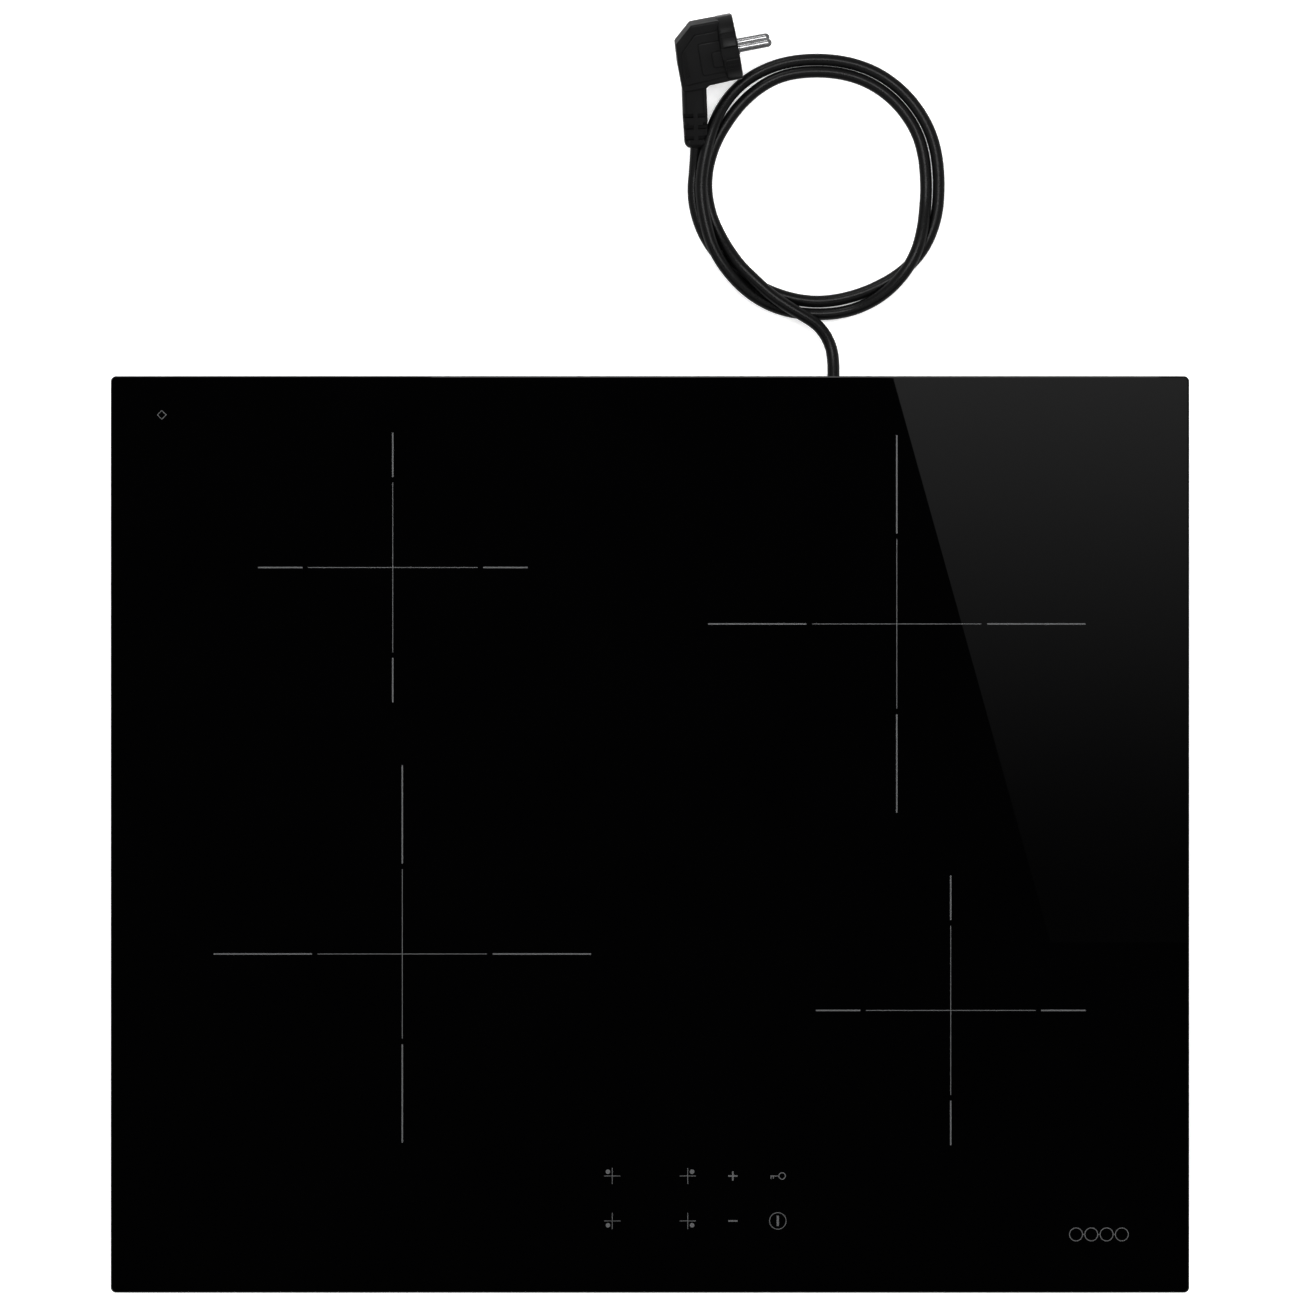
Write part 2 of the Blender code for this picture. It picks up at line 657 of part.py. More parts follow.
def make_fan():
    casing = plate(scroll_outline(0), FLOOR, FAN_HOUSING_TOP)
    housing = add_object("fan_housing", casing, FAN_PLASTIC)
    inside = plate(scroll_outline(FAN_WALL), FLOOR + FAN_WALL, FAN_HOUSING_TOP - FAN_WALL)
    boolean(housing, add_cutter("fan_housing_inside", inside))
    inlet = rod(FAN_INLET_RADIUS, (FAN_X, FAN_Y, 0), (FAN_X, FAN_Y, FLOOR + 2 * FAN_WALL), 24)
    boolean(housing, add_cutter("fan_housing_inlet", inlet))

    roof = FAN_HOUSING_TOP - FAN_WALL - GAP
    motor = (
        (0, 0.010),
        (0.0015, 0.010),
        (0.0015, FAN_TOP + GAP),
        (0.012, FAN_TOP + GAP),
        (0.012, roof),
        (0, roof),
    )
    add_object("fan_motor", turned(motor, 20), MOTOR_STEEL, (FAN_X, FAN_Y, 0))

    hub, disc = 0.006, 0.0016
    wheel = (
        (0.0019, 0.012),
        (hub, 0.012),
        (hub, FAN_TOP - disc),
        (FAN_RADIUS, FAN_TOP - disc),
        (FAN_RADIUS, FAN_TOP),
        (0.0019, FAN_TOP),
    )
    place = (FAN_X, FAN_Y, 0)
    impeller = add_object("fan_impeller", turned(wheel, 24, closed=True), FAN_PLASTIC, place)
    blades = []
    inner, outer, thick, sweep = 0.022, 0.0320, 0.0006, math.radians(-22)
    for i in range(FAN_BLADES):
        turn = 2 * math.pi * i / FAN_BLADES
        rows = []
        for share in (0.0, 0.5, 1.0):
            r = inner + (outer - inner) * share
            angle = turn + sweep * share**1.5
            rows.append((Vector((math.cos(angle), math.sin(angle))), r))
        left = [d * r + Vector((-d.y, d.x)) * thick for d, r in rows]
        right = [d * r - Vector((-d.y, d.x)) * thick for d, r in reversed(rows)]
        outline = [tuple(p) for p in left + right]
        blades.append(plate(outline, FAN_BOTTOM + 0.0004, FAN_TOP - disc / 2))
    blade_object = add_cutter("fan_blades", merged(*blades), place)
    boolean(impeller, blade_object, "UNION")
    low, high = FAN_BOTTOM, FAN_BOTTOM + 0.0016
    band = ((0.0280, low), (0.0325, low), (0.0325, high), (0.0280, high))
    ring = add_cutter("fan_band", turned(band, 24, closed=True), place)
    boolean(impeller, ring, "UNION")


def make_baffle():
    """A hood that spreads the blower's air over both heatsinks."""
    wall, half, top = 0.0015, 0.0745, 0.0338
    front = POWER_BOARD_Y + POWER_BOARD_DEPTH / 2 + 0.0055
    ends = (front + GAP, FAN_OUTLET_Y - GAP)
    outline = [(-half, FLOOR), (-half + wall, FLOOR), (-half + wall, top - wall)]
    outline += [(half - wall, top - wall), (half - wall, FLOOR)]
    outline += [(half, FLOOR), (half, top), (-half, top)]
    bm = loft([[(x, y, z) for x, z in outline] for y in ends])
    add_object("air_baffle", bm, CARRIER)


# ---------------------------------------------------------------- touch control
def make_touch_control():
    centre = (TOUCH_X, TOUCH_Y)
    rim = 0.002
    board_bottom = 0.0422
    outer = rectangle(TOUCH_WIDTH + 2 * rim, TOUCH_DEPTH + rim, centre)
    bm = plate(outer, FORMER_BOTTOM, board_bottom - GAP)
    carrier = add_object("touch_carrier", bm, CARRIER)
    inside = plate(
        rectangle(TOUCH_WIDTH - rim, TOUCH_DEPTH - 2 * rim, centre),
        FORMER_BOTTOM + rim,
        board_bottom + rim,
    )
    boolean(carrier, add_cutter("touch_carrier_inside", inside))
    board_top = board_bottom + BOARD_THICK
    bm = plate(rectangle(TOUCH_WIDTH, TOUCH_DEPTH, centre), board_bottom, board_top)
    add_object("touch_board", bm, BOARD_GREEN)
    low = (-0.034, TOUCH_Y - 0.017, board_top + GAP)
    high = (0.034, TOUCH_Y + 0.017, SEAL_TOP - 0.0001)
    add_object("display_module", boxes([(low, high)]), DISPLAY)

    # The flat cable drops through its slot in the coil plate to the right power board.
    thick = 0.0008
    board_edge = POWER_BOARD_Y - POWER_BOARD_DEPTH / 2 - GAP
    start = TOUCH_Y + TOUCH_DEPTH / 2 + GAP
    drop, high_z, low_z = -0.1750, board_bottom + 0.0008, BOARD_BOTTOM + 0.0008
    upper = [(start, high_z + thick / 2), (drop + thick / 2, high_z + thick / 2)]
    upper += [(drop + thick / 2, low_z + thick / 2), (board_edge, low_z + thick / 2)]
    lower = [(board_edge, low_z - thick / 2), (drop - thick / 2, low_z - thick / 2)]
    lower += [(drop - thick / 2, high_z - thick / 2), (start, high_z - thick / 2)]
    outline = upper + lower
    bm = loft([[(x, y, z) for y, z in outline] for x in (0.060, 0.080)])
    add_object("ribbon_cable", bm, RIBBON)


# ---------------------------------------------------------------- mains terminal box
def make_terminal_box():
    wall, depth = TERMINAL_WALL, TERMINAL_REAR - TERMINAL_FRONT
    middle = (CORD_X, (TERMINAL_FRONT + TERMINAL_REAR) / 2)
    bm = plate(rectangle(TERMINAL_WIDTH, depth, middle), FLOOR, TERMINAL_TOP)
    box = add_object("terminal_box", bm, TERMINAL)
    inner = rectangle(TERMINAL_WIDTH - 2 * wall, depth - 2 * wall, middle)
    inside = add_cutter("terminal_box_inside", plate(inner, 0, TERMINAL_TOP - wall))
    boolean(box, inside)
    start, end = TERMINAL_REAR - 2 * wall, TERMINAL_REAR + wall
    hole = rod(0.0075, (CORD_X, start, CORD_Z), (CORD_X, end, CORD_Z))
    boolean(box, add_cutter("terminal_box_inlet", hole))
    lugs = []
    front = TERMINAL_FRONT + wall
    for side in (-1, 1):
        near, far = CORD_X + side * 0.0206, CORD_X + side * 0.0310
        x_low, x_high = min(near, far), max(near, far)
        hinge_front, hinge_rear = COVER_HINGE_Y - 0.0017, COVER_HINGE_Y + 0.0017
        outline = [(front - 0.001, 0.0016), (hinge_front, 0.0016), (hinge_front, GAP)]
        outline += [(hinge_rear, GAP), (hinge_rear, 0.0060), (front - 0.001, 0.0060)]
        lugs.append(loft([[(x, y, z) for y, z in outline] for x in (x_low, x_high)]))
    boolean(box, add_cutter("terminal_box_lugs", merged(*lugs)), "UNION")
    bore = rod(HINGE_PIN_RADIUS + GAP, hinge_point(-0.040), hinge_point(0.040), 10)
    boolean(box, add_cutter("terminal_box_bore", bore))
    pin = rod(HINGE_PIN_RADIUS, hinge_point(-0.0305), hinge_point(0.0305), 10)
    add_object("terminal_hinge_pin", pin, SCREW_STEEL)


def hinge_point(offset):
    return (CORD_X + offset, COVER_HINGE_Y, COVER_HINGE_Z)


def make_terminal_cover():
    """The lid under the terminal box; its origin is on its hinge."""
    half = TERMINAL_WIDTH / 2 - OPENING_LIP - 0.0005
    rear = TERMINAL_REAR - OPENING_LIP - 0.0006 - COVER_HINGE_Y
    shoulder, tongue = 0.0030, 0.0200
    outline = [(-tongue, 0), (tongue, 0), (tongue, shoulder), (half, shoulder)]
    outline += [(half, rear), (-half, rear), (-half, shoulder), (-tongue, shoulder)]
    bottom = 0.0006 - COVER_HINGE_Z
    origin = hinge_point(0)
    bm = plate(outline, bottom, bottom + COVER_THICK)
    cover = add_object("terminal_cover", bm, TERMINAL, origin)
    barrel = rod(COVER_BARREL, (-tongue, 0, 0), (tongue, 0, 0), 12)
    boolean(cover, add_cutter("cover_barrel", barrel, origin), "UNION")
    bore = rod(HINGE_PIN_RADIUS + GAP, (-0.030, 0, 0), (0.030, 0, 0), 10)
    boolean(cover, add_cutter("cover_bore", bore, origin))


def make_terminals():
    roof = TERMINAL_TOP - TERMINAL_WALL - GAP
    low = (CORD_X - 0.0295, 0.172, 0.012)
    block = add_object("terminal_block", boxes([(low, (CORD_X + 0.0295, 0.192, roof))]), BLOCK)
    slots = []
    for i in range(5):
        x = CORD_X + (i - 2) * 0.0115
        slots.append(((x - 0.004, 0.176, 0.010), (x + 0.004, 0.188, 0.018)))
    boolean(block, add_cutter("terminal_chambers", boxes(slots)))

    # The bridge that grips the lead's sheath stands on two legs under the box's roof.
    bar_top = 0.0106
    bridge = [((CORD_X - 0.015, 0.201, 0.0065), (CORD_X + 0.015, 0.209, bar_top))]
    clamp = add_object("cord_clamp", boxes(bridge), TERMINAL)
    legs = []
    for side in (-1, 1):
        near, far = CORD_X + side * 0.010, CORD_X + side * 0.015
        legs.append(((min(near, far), 0.201, bar_top - 0.002), (max(near, far), 0.209, roof)))
    boolean(clamp, add_cutter("cord_clamp_legs", boxes(legs)), "UNION")


def make_gland():
    """The strain relief in the rear wall: a sleeve, a collar and a long taper."""
    wall = TRAY_DEPTH / 2
    collar = 0.003
    profile = (
        (0, 0.2175),
        (0.0072, 0.2175),
        (0.0072, wall + GAP),
        (0.0100, wall + GAP),
        (0.0100, wall + GAP + collar),
        (0.0070, wall + GAP + collar + 0.001),
        (0.0046, GLAND_END_Y),
        (0, GLAND_END_Y),
    )
    bm = turned(profile, 16)
    turn = Matrix.Rotation(math.radians(-90), 3, "X")
    bmesh.ops.rotate(bm, cent=(0, 0, 0), matrix=turn, verts=bm.verts)
    add_object("cord_gland", bm, CORD_BLACK, (CORD_X, 0, CORD_Z))


# ---------------------------------------------------------------- worktop clamps
def clamp_places():
    return [(sx * CLAMP_X, sy * CLAMP_Y) for sx in (-1, 1) for sy in (-1, 1)]


def make_clamp(x, y):
    """A cranked arm that swivels about its screw, parked along the tray's wall."""
    end = "rear" if y > 0 else "front"
    side = "right" if x > 0 else "left"
    inward = -1 if y > 0 else 1
    half, reach = CLAMP_WIDTH / 2, CLAMP_REACH
    low, rise, thick = CLAMP_BOTTOM, CLAMP_RISE, CLAMP_THICK
    bottom = [(-half, low), (0.024, low), (0.030, low + rise), (reach, low + rise)]
    top = [(s - 0.0006 * (0 < i < 3), z + thick) for i, (s, z) in enumerate(bottom)]
    outline = bottom + top[::-1]
    bm = loft([[(w, inward * s, z) for s, z in outline] for w in (-half, half)])
    arm = add_object(f"clamp_arm_{end}_{side}", bm, CLAMP_STEEL, (x, y, 0))
    steps = 8
    plan = []
    for i in range(steps + 1):
        turn = math.pi + math.pi * i / steps
        plan.append((half * math.cos(turn), inward * half * math.sin(turn)))
    for i in range(steps + 1):
        turn = math.pi * i / steps
        plan.append((half * math.cos(turn), inward * (reach - half + half * math.sin(turn))))
    shape = add_cutter(f"clamp_plan_{end}_{side}", plate(plan, 0, 0.020), (x, y, 0))
    boolean(arm, shape, "INTERSECT")
    hole = rod(CLAMP_SCREW_RADIUS + GAP, (0, 0, 0), (0, 0, 0.020), 12)
    boolean(arm, add_cutter(f"clamp_hole_{end}_{side}", hole, (x, y, 0)))

    head, head_height = 0.0045, 0.003
    bottom_z = CLAMP_BOTTOM - GAP - head_height
    profile = (
        (0, bottom_z),
        (head * 0.75, bottom_z),
        (head, bottom_z + 0.001),
        (head, bottom_z + head_height),
        (CLAMP_SCREW_RADIUS, bottom_z + head_height),
        (CLAMP_SCREW_RADIUS, FRAME_TOP - SHEET - GAP),
        (0, FRAME_TOP - SHEET - GAP),
    )
    add_object(f"clamp_screw_{end}_{side}", turned(profile, 12), SCREW_STEEL, (x, y, 0))


# ---------------------------------------------------------------- mains lead and plug
def plug_matrix():
    """Plug frame: u along the pins, v up the face away from the cable, w across the thickness."""
    lift = PLUG_RADIUS + GAP
    turn = Matrix.Rotation(PLUG_YAW, 4, "Z") @ Matrix.Rotation(PLUG_ROLL, 4, "X")
    return Matrix.Translation((*PLUG_FACE, lift)) @ turn


def neck_matrix():
    """Frame of the plug's neck and strain relief, which run along its -Y."""
    return (
        plug_matrix()
        @ Matrix.Translation((*NECK_ROOT, 0))
        @ Matrix.Rotation(-NECK_LEAN, 4, "Z")
    )


def make_cord():
    inner, outer, height = COIL_INNER, COIL_OUTER, COIL_HEIGHT
    edge = CORD_DIAMETER / 3
    profile = (
        (inner + edge, 0),
        (outer - edge, 0),
        (outer, edge),
        (outer, height - 2 * edge),
        (outer - 2 * edge, height),
        (inner + 2 * edge, height),
        (inner, height - 2 * edge),
        (inner, edge),
    )
    bm = turned(profile, 40, closed=True)
    ring = add_object("cord_coil", bm, CORD_BLACK, (COIL_X, COIL_Y, 0))
    half = NECK_WIDTH / 2 + 0.001
    reach = NECK_LENGTH + RELIEF_LENGTH + 0.006
    notch = boxes([((-half, -reach, -0.030), (half, 0, 0.030))])
    bmesh.ops.transform(notch, matrix=neck_matrix(), verts=notch.verts)
    disc = rod(PLUG_RADIUS + 2 * GAP, (-PLUG_DISC - GAP, 0, 0), (GAP, 0, 0), 28)
    bmesh.ops.transform(disc, matrix=plug_matrix(), verts=disc.verts)
    boolean(ring, add_cutter("coil_notch", merged(notch, disc)))

    spacing = 2.2 * CORD_DIAMETER
    tube("cord_tail", smooth_route(CORD_TAIL, spacing / 3), CORD_DIAMETER / 2, CORD_BLACK)
    lead = [
        (CORD_X, 0.2172, CORD_Z),
        (CORD_X, 0.2110, 0.0143),
        (CORD_X, 0.2050, 0.0160),
        (CORD_X, 0.1980, 0.0176),
        (CORD_X, 0.1923, 0.0180),
    ]
    tube("cord_lead", smooth_route(lead, spacing / 2), CORD_DIAMETER / 2, CORD_BLACK)


def make_plug():
    disc = rod(PLUG_RADIUS, (-PLUG_DISC, 0, 0), (0, 0, 0), 28)
    body = add_object("plug_body", disc, PLUG_BLACK)
    body.matrix_world = plug_matrix()
    half = PLUG_BODY_THICK / 2
    neck = NECK_WIDTH / 2
    outline = [
        (-PLUG_DISC + 0.002, 0.0174),
        (-0.0239, 0.0174),
        (-0.0341, 0.0085),
        (-PLUG_BACK, -0.0030),
        (-PLUG_BACK, -0.0195),
        (-0.0218, -0.0195),
        (-0.0204, -0.0174),
        (-PLUG_DISC + 0.002, -0.0172),
    ]
    shell = add_cutter("plug_back", loft([[(u, v, w) for u, v in outline] for w in (-half, half)]))
    shell.matrix_world = plug_matrix()
    boolean(body, shell, "UNION")
    stem = boxes([((-neck, -NECK_LENGTH, -neck), (neck, 0.004, neck))])
    stem = add_cutter("plug_neck", stem)
    stem.matrix_world = neck_matrix()
    boolean(body, stem, "UNION")
    end = NECK_LENGTH + RELIEF_LENGTH
    profile = (
        (0, 0.003 - NECK_LENGTH),
        (0.0066, 0.003 - NECK_LENGTH),
        (0.0062, 0.003 - end),
        (0.0040, -end),
        (0, -end),
    )
    relief = turned(profile, 16)
    turn = Matrix.Rotation(math.radians(-90), 3, "X")
    bmesh.ops.rotate(relief, cent=(0, 0, 0), matrix=turn, verts=relief.verts)
    sleeve = add_cutter("plug_relief", relief)
    sleeve.matrix_world = neck_matrix()
    boolean(body, sleeve, "UNION")
    turn = Matrix.Rotation(math.radians(90), 3, "Y")
    tip = PIN_LENGTH - 0.002
    profile = ((0, GAP), (PIN_RADIUS, GAP), (PIN_RADIUS, tip))
    profile += ((0.0012, PIN_LENGTH), (0, PIN_LENGTH))
    for name, w in (("plug_pin_upper", PIN_SPACING / 2), ("plug_pin_lower", -PIN_SPACING / 2)):
        bm = turned(profile, 12)
        bmesh.ops.rotate(bm, cent=(0, 0, 0), matrix=turn, verts=bm.verts)
        pin = add_object(name, bm, PIN_NICKEL)
        pin.matrix_world = plug_matrix() @ Matrix.Translation((0, 0, w))


make_glass()
make_band(
    "edge_seal", SEAL_WIDTH, SEAL_DEPTH, 0.012, SEAL_BAND, SEAL_TOP - SEAL_THICK, SEAL_TOP, FOAM
)
make_band(
    "glass_adhesive",
    FRAME_WIDTH - 0.002,
    FRAME_DEPTH - 0.002,
    FRAME_CORNER - 0.001,
    ADHESIVE_BAND,
    SEAL_TOP - ADHESIVE_THICK,
    SEAL_TOP,
    SILICONE,
)
make_frame()
make_tray()
make_coil_plate()
make_coils()
make_carrier()
make_power_board(-1, "power_board_left")
make_power_board(1, "power_board_right")
make_heatsink(-1, "heatsink_left")
make_heatsink(1, "heatsink_right")
make_filter()
make_fan()
make_baffle()
make_touch_control()
make_terminal_box()
make_terminal_cover()
make_terminals()
make_gland()
for clamp_x, clamp_y in clamp_places():
    make_clamp(clamp_x, clamp_y)
make_cord()
make_plug()
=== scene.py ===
"""Looks of the built-in induction hob: meshes, procedural materials, mains lead, light and camera.

Metres throughout, in the frame of the CAD model: +X to the user's right, +Y to the rear, +Z up.
"""
import math
import random

import bmesh
import bpy
from mathutils import Matrix, Vector


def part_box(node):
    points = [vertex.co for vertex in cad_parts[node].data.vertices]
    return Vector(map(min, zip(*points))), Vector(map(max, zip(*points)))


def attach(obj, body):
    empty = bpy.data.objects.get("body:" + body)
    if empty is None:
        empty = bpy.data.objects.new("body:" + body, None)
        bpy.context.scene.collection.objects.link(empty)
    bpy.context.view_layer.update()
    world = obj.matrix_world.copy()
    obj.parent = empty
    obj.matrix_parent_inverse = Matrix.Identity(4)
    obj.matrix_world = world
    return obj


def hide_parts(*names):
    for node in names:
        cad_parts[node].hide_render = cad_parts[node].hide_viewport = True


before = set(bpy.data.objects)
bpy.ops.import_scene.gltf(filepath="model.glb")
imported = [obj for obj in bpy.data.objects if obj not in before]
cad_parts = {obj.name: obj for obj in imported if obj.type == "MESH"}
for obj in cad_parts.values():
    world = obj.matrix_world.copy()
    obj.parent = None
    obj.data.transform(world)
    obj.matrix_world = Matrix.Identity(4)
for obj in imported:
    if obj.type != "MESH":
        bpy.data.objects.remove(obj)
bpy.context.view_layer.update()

# ---------------------------------------------------------------- driving dimensions
MM = 0.001
WELD = 0.001 * MM  # vertices closer than this are one
SMOOTH_ANGLE = math.radians(35)

GLASS_LOW, GLASS_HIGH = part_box("glass_plate")
GLASS_TOP = GLASS_HIGH.z
GLASS_CORNER = 3 * MM
GLASS_POLISH = 0.6 * MM  # radius of the polished upper edge

CAMERA_HEIGHT = 4.0  # above the glass
CAMERA_Y = 0.1026
VIEW_WIDTH = 0.7232  # width of the view at the glass
SENSOR = 36.0

CARD_HEIGHT = 1.6  # the reflected card, above the glass
CARD_EDGE = ((0.1350, 0.2551), (0.2085, -0.0086))  # its left edge, as seen in the glass
CARD_FRONT, CARD_REAR, CARD_RIGHT = -0.060, 0.290, 0.335  # its other edges
CARD_BRIGHT = 0.255  # where its glow is full

PRINT_LOW = GLASS_TOP + 0.02 * MM
PRINT_HIGH = PRINT_LOW + 0.03 * MM
KEYS_REAR, KEYS_FRONT = -190 * MM, -215 * MM  # the two rows of touch keys

CORD_RADIUS = 3.4 * MM
CORD_EXIT = (0.1030, 0.2500, 0.0140)
COIL_CENTRE = (0.0933, 0.3631)

PLUG_FACE = (0.0490, 0.4417)
PLUG_YAW = math.radians(10.7)
PLUG_ROLL = math.radians(14.0)
PLUG_RADIUS = 18.5 * MM
PLUG_DISC = 10 * MM
NECK_ROOT = (-28.4 * MM, -20.5 * MM)
NECK_LEAN = math.radians(8.3)
NECK_WIDTH = 13.7 * MM
NECK_LENGTH = 31.8 * MM
PIN_RADIUS = 2.4 * MM
PIN_LENGTH = 19 * MM
PIN_SPACING = 19 * MM

SHEET = 1 * MM  # thickness of the folded steel
BOARD_BOTTOM = 8 * MM
BOARD_THICK = 1.6 * MM
BOARD_TOP = BOARD_BOTTOM + BOARD_THICK
ZONES = ("rear_left", "front_left", "rear_right", "front_right")


# ---------------------------------------------------------------- material helpers
class Looks:
    """One node material, built from small calls. Patterns read object coordinates in metres."""

    def __init__(self, name):
        self.material = bpy.data.materials.new(name)
        self.material.use_nodes = True
        self.tree = self.material.node_tree
        self.shader = self.tree.nodes["Principled BSDF"]
        self.place = self.add("ShaderNodeTexCoord").outputs["Object"]

    def add(self, kind, inputs=None, **settings):
        node = self.tree.nodes.new(kind)
        for key, value in settings.items():
            setattr(node, key, value)
        for key, value in (inputs or {}).items():
            self.feed(node.inputs[key], value)
        return node

    def feed(self, socket, value):
        """Links an output, or sets a value; colours may be given without their alpha."""
        if isinstance(value, bpy.types.NodeSocket):
            self.tree.links.new(value, socket)
        elif socket.type == "RGBA" and len(value) == 3:
            socket.default_value = (*value, 1.0)
        else:
            socket.default_value = value

    def show(self, output):
        """Makes a shader the material's surface."""
        surface = self.tree.nodes["Material Output"].inputs["Surface"]
        self.tree.links.new(output, surface)

    def axis(self, letter):
        """One object coordinate."""
        split = self.add("ShaderNodeSeparateXYZ", {"Vector": self.place})
        return split.outputs[letter]

    def stretched(self, scale):
        """Object coordinates scaled unevenly, for brushed and drawn surfaces."""
        inputs = {"Vector": self.place, "Scale": scale}
        return self.add("ShaderNodeMapping", inputs).outputs["Vector"]

    def noise(self, scale, detail=3.0, where=None):
        inputs = {"Vector": where or self.place, "Scale": scale, "Detail": detail}
        return self.add("ShaderNodeTexNoise", inputs).outputs["Fac"]

    def cells(self, scale, where=None, feature="F1"):
        inputs = {"Vector": where or self.place, "Scale": scale}
        return self.add("ShaderNodeTexVoronoi", inputs, feature=feature).outputs["Distance"]

    def crystals(self, scale, where=None):
        """A flat tone for each cell."""
        inputs = {"Vector": where or self.place, "Scale": scale}
        colour = self.add("ShaderNodeTexVoronoi", inputs, feature="F1").outputs["Color"]
        return self.add("ShaderNodeSeparateColor", {"Color": colour}).outputs[0]

    def spread(self, value, low, high, start=0.3, end=0.7):
        """Maps a pattern's middle range onto low to high."""
        inputs = {"Value": value, "From Min": start, "From Max": end, "To Min": low, "To Max": high}
        return self.add("ShaderNodeMapRange", inputs).outputs["Result"]

    def blend(self, amount, first, second):
        """A colour between two; the node's inputs 6 and 7 are its colours, and output 2."""
        inputs = {0: amount, 6: first, 7: second}
        return self.add("ShaderNodeMix", inputs, data_type="RGBA").outputs[2]

    def cloudy(self, scale, dark, light, detail=3.0):
        """A colour that drifts slowly between two."""
        return self.blend(self.spread(self.noise(scale, detail), 0.0, 1.0), dark, light)

    def maths(self, operation, first, second=0.0):
        return self.add("ShaderNodeMath", {0: first, 1: second}, operation=operation).outputs[0]

    def weighed(self, first, share, second):
        """A sum of two patterns, the first one's share being given."""
        part = self.maths("MULTIPLY", first, share)
        rest = self.maths("MULTIPLY", second, 1.0 - share)
        return self.maths("ADD", part, rest)

    def relief(self, height, distance, strength=1.0, below=None):
        inputs = {"Height": height, "Distance": distance, "Strength": strength}
        if below:
            inputs["Normal"] = below
        return self.add("ShaderNodeBump", inputs).outputs["Normal"]

    def finish(self, **sockets):
        """Sets shader sockets; spaces in socket names are written as underscores."""
        for key, value in sockets.items():
            self.feed(self.shader.inputs[key.replace("_", " ")], value)
        return self.material


def moulded(name, dark, light, roughness=(0.4, 0.55), grain=1400.0, depth=0.02 * MM, **more):
    """Moulded plastic or rubber: fine spark-eroded grain with slow changes in tone."""
    look = Looks(name)
    return look.finish(
        Base_Color=look.cloudy(60.0, dark, light),
        Roughness=look.spread(look.noise(220.0), *roughness),
        Normal=look.relief(look.noise(grain, 2.0), depth),
        **more,
    )


def brushed(name, dark, light, roughness, along):
    """Rolled or drawn metal: fine lines along one direction."""
    look = Looks(name)
    lines = look.noise(1.0, 3.0, look.stretched(along))
    clouds = look.spread(look.noise(35.0), 0.75, 1.0)
    tone = look.maths("MULTIPLY", look.spread(lines, 0.6, 1.0), clouds)
    return look.finish(
        Base_Color=look.blend(tone, dark, light),
        Roughness=look.spread(lines, *roughness),
        Normal=look.relief(lines, 0.01 * MM, 0.6),
        Metallic=1.0,
    )


def black_glass():
    look = Looks("black_glass")
    dark, light = (0.0003, 0.0003, 0.00035), (0.0006, 0.0006, 0.00065)
    smear = look.spread(look.noise(9.0, 4.0), 0.004, 0.010)
    return look.finish(Base_Color=look.blend(look.noise(18.0), dark, light), Roughness=smear, IOR=1.52)


def printed_ink():
    look = Looks("printed_ink")
    speck = look.cells(4200.0)
    shade = look.spread(speck, 0.0, 1.0, 0.2, 0.6)
    return look.finish(
        Base_Color=look.blend(shade, (0.085, 0.086, 0.088), (0.060, 0.061, 0.063)),
        Roughness=look.spread(look.noise(900.0), 0.5, 0.65),
        Normal=look.relief(speck, 0.004 * MM),
    )


def cord_sheath():
    look = Looks("cord_sheath")
    return look.finish(
        Base_Color=look.cloudy(50.0, (0.0020, 0.0020, 0.0021), (0.0036, 0.0036, 0.0037)),
        Roughness=look.spread(look.noise(420.0), 0.25, 0.33),
        Normal=look.relief(look.noise(2600.0, 2.0), 0.012 * MM, 0.7),
        Specular_IOR_Level=0.15,
    )


def pin_nickel():
    look = Looks("pin_nickel")
    lines = look.noise(1.0, 3.0, look.stretched((2600.0, 2600.0, 2600.0)))
    return look.finish(
        Base_Color=look.cloudy(300.0, (0.20, 0.20, 0.205), (0.30, 0.30, 0.305), 4.0),
        Metallic=1.0,
        Roughness=look.spread(lines, 0.16, 0.24),
        Normal=look.relief(lines, 0.0015 * MM),
    )


def seal_foam():
    look = Looks("seal_foam")
    pores = look.cells(1500.0)
    shade = look.spread(pores, 0.0, 1.0, 0.1, 0.6)
    return look.finish(
        Base_Color=look.blend(shade, (0.012, 0.012, 0.012), (0.035, 0.035, 0.035)),
        Roughness=look.spread(pores, 0.95, 0.8),
        Normal=look.relief(pores, 0.18 * MM, 0.9),
    )


def zinc_sheet():
    """Hot-dip zinc: large crystals of slightly different tone over fine rolling marks."""
    look = Looks("zinc_sheet")
    scaled = {0: look.place, 1: (0.7, 1.0, 0.8)}
    bent = look.add("ShaderNodeVectorMath", scaled, operation="MULTIPLY").outputs[0]
    grey = look.crystals(230.0, bent)
    lines = look.noise(1.0, 3.0, look.stretched((60.0, 1800.0, 900.0)))
    tone = look.weighed(grey, 0.7, look.noise(14.0))
    crystal_shine = look.spread(grey, 0.35, 0.41, 0.0, 1.0)
    return look.finish(
        Base_Color=look.blend(tone, (0.41, 0.42, 0.43), (0.51, 0.52, 0.53)),
        Metallic=1.0,
        Roughness=look.maths("ADD", crystal_shine, look.spread(lines, -0.03, 0.05)),
        Normal=look.relief(lines, 0.008 * MM, 0.7, look.relief(grey, 0.02 * MM, 0.4)),
    )


def coated_steel():
    look = Looks("frame_steel")
    return look.finish(
        Base_Color=look.cloudy(40.0, (0.010, 0.010, 0.011), (0.018, 0.018, 0.019)),
        Roughness=look.spread(look.noise(260.0), 0.38, 0.52),
        Normal=look.relief(look.noise(700.0, 2.0), 0.03 * MM, 0.8),
        Coat_Weight=0.15,
        Coat_Roughness=0.3,
    )


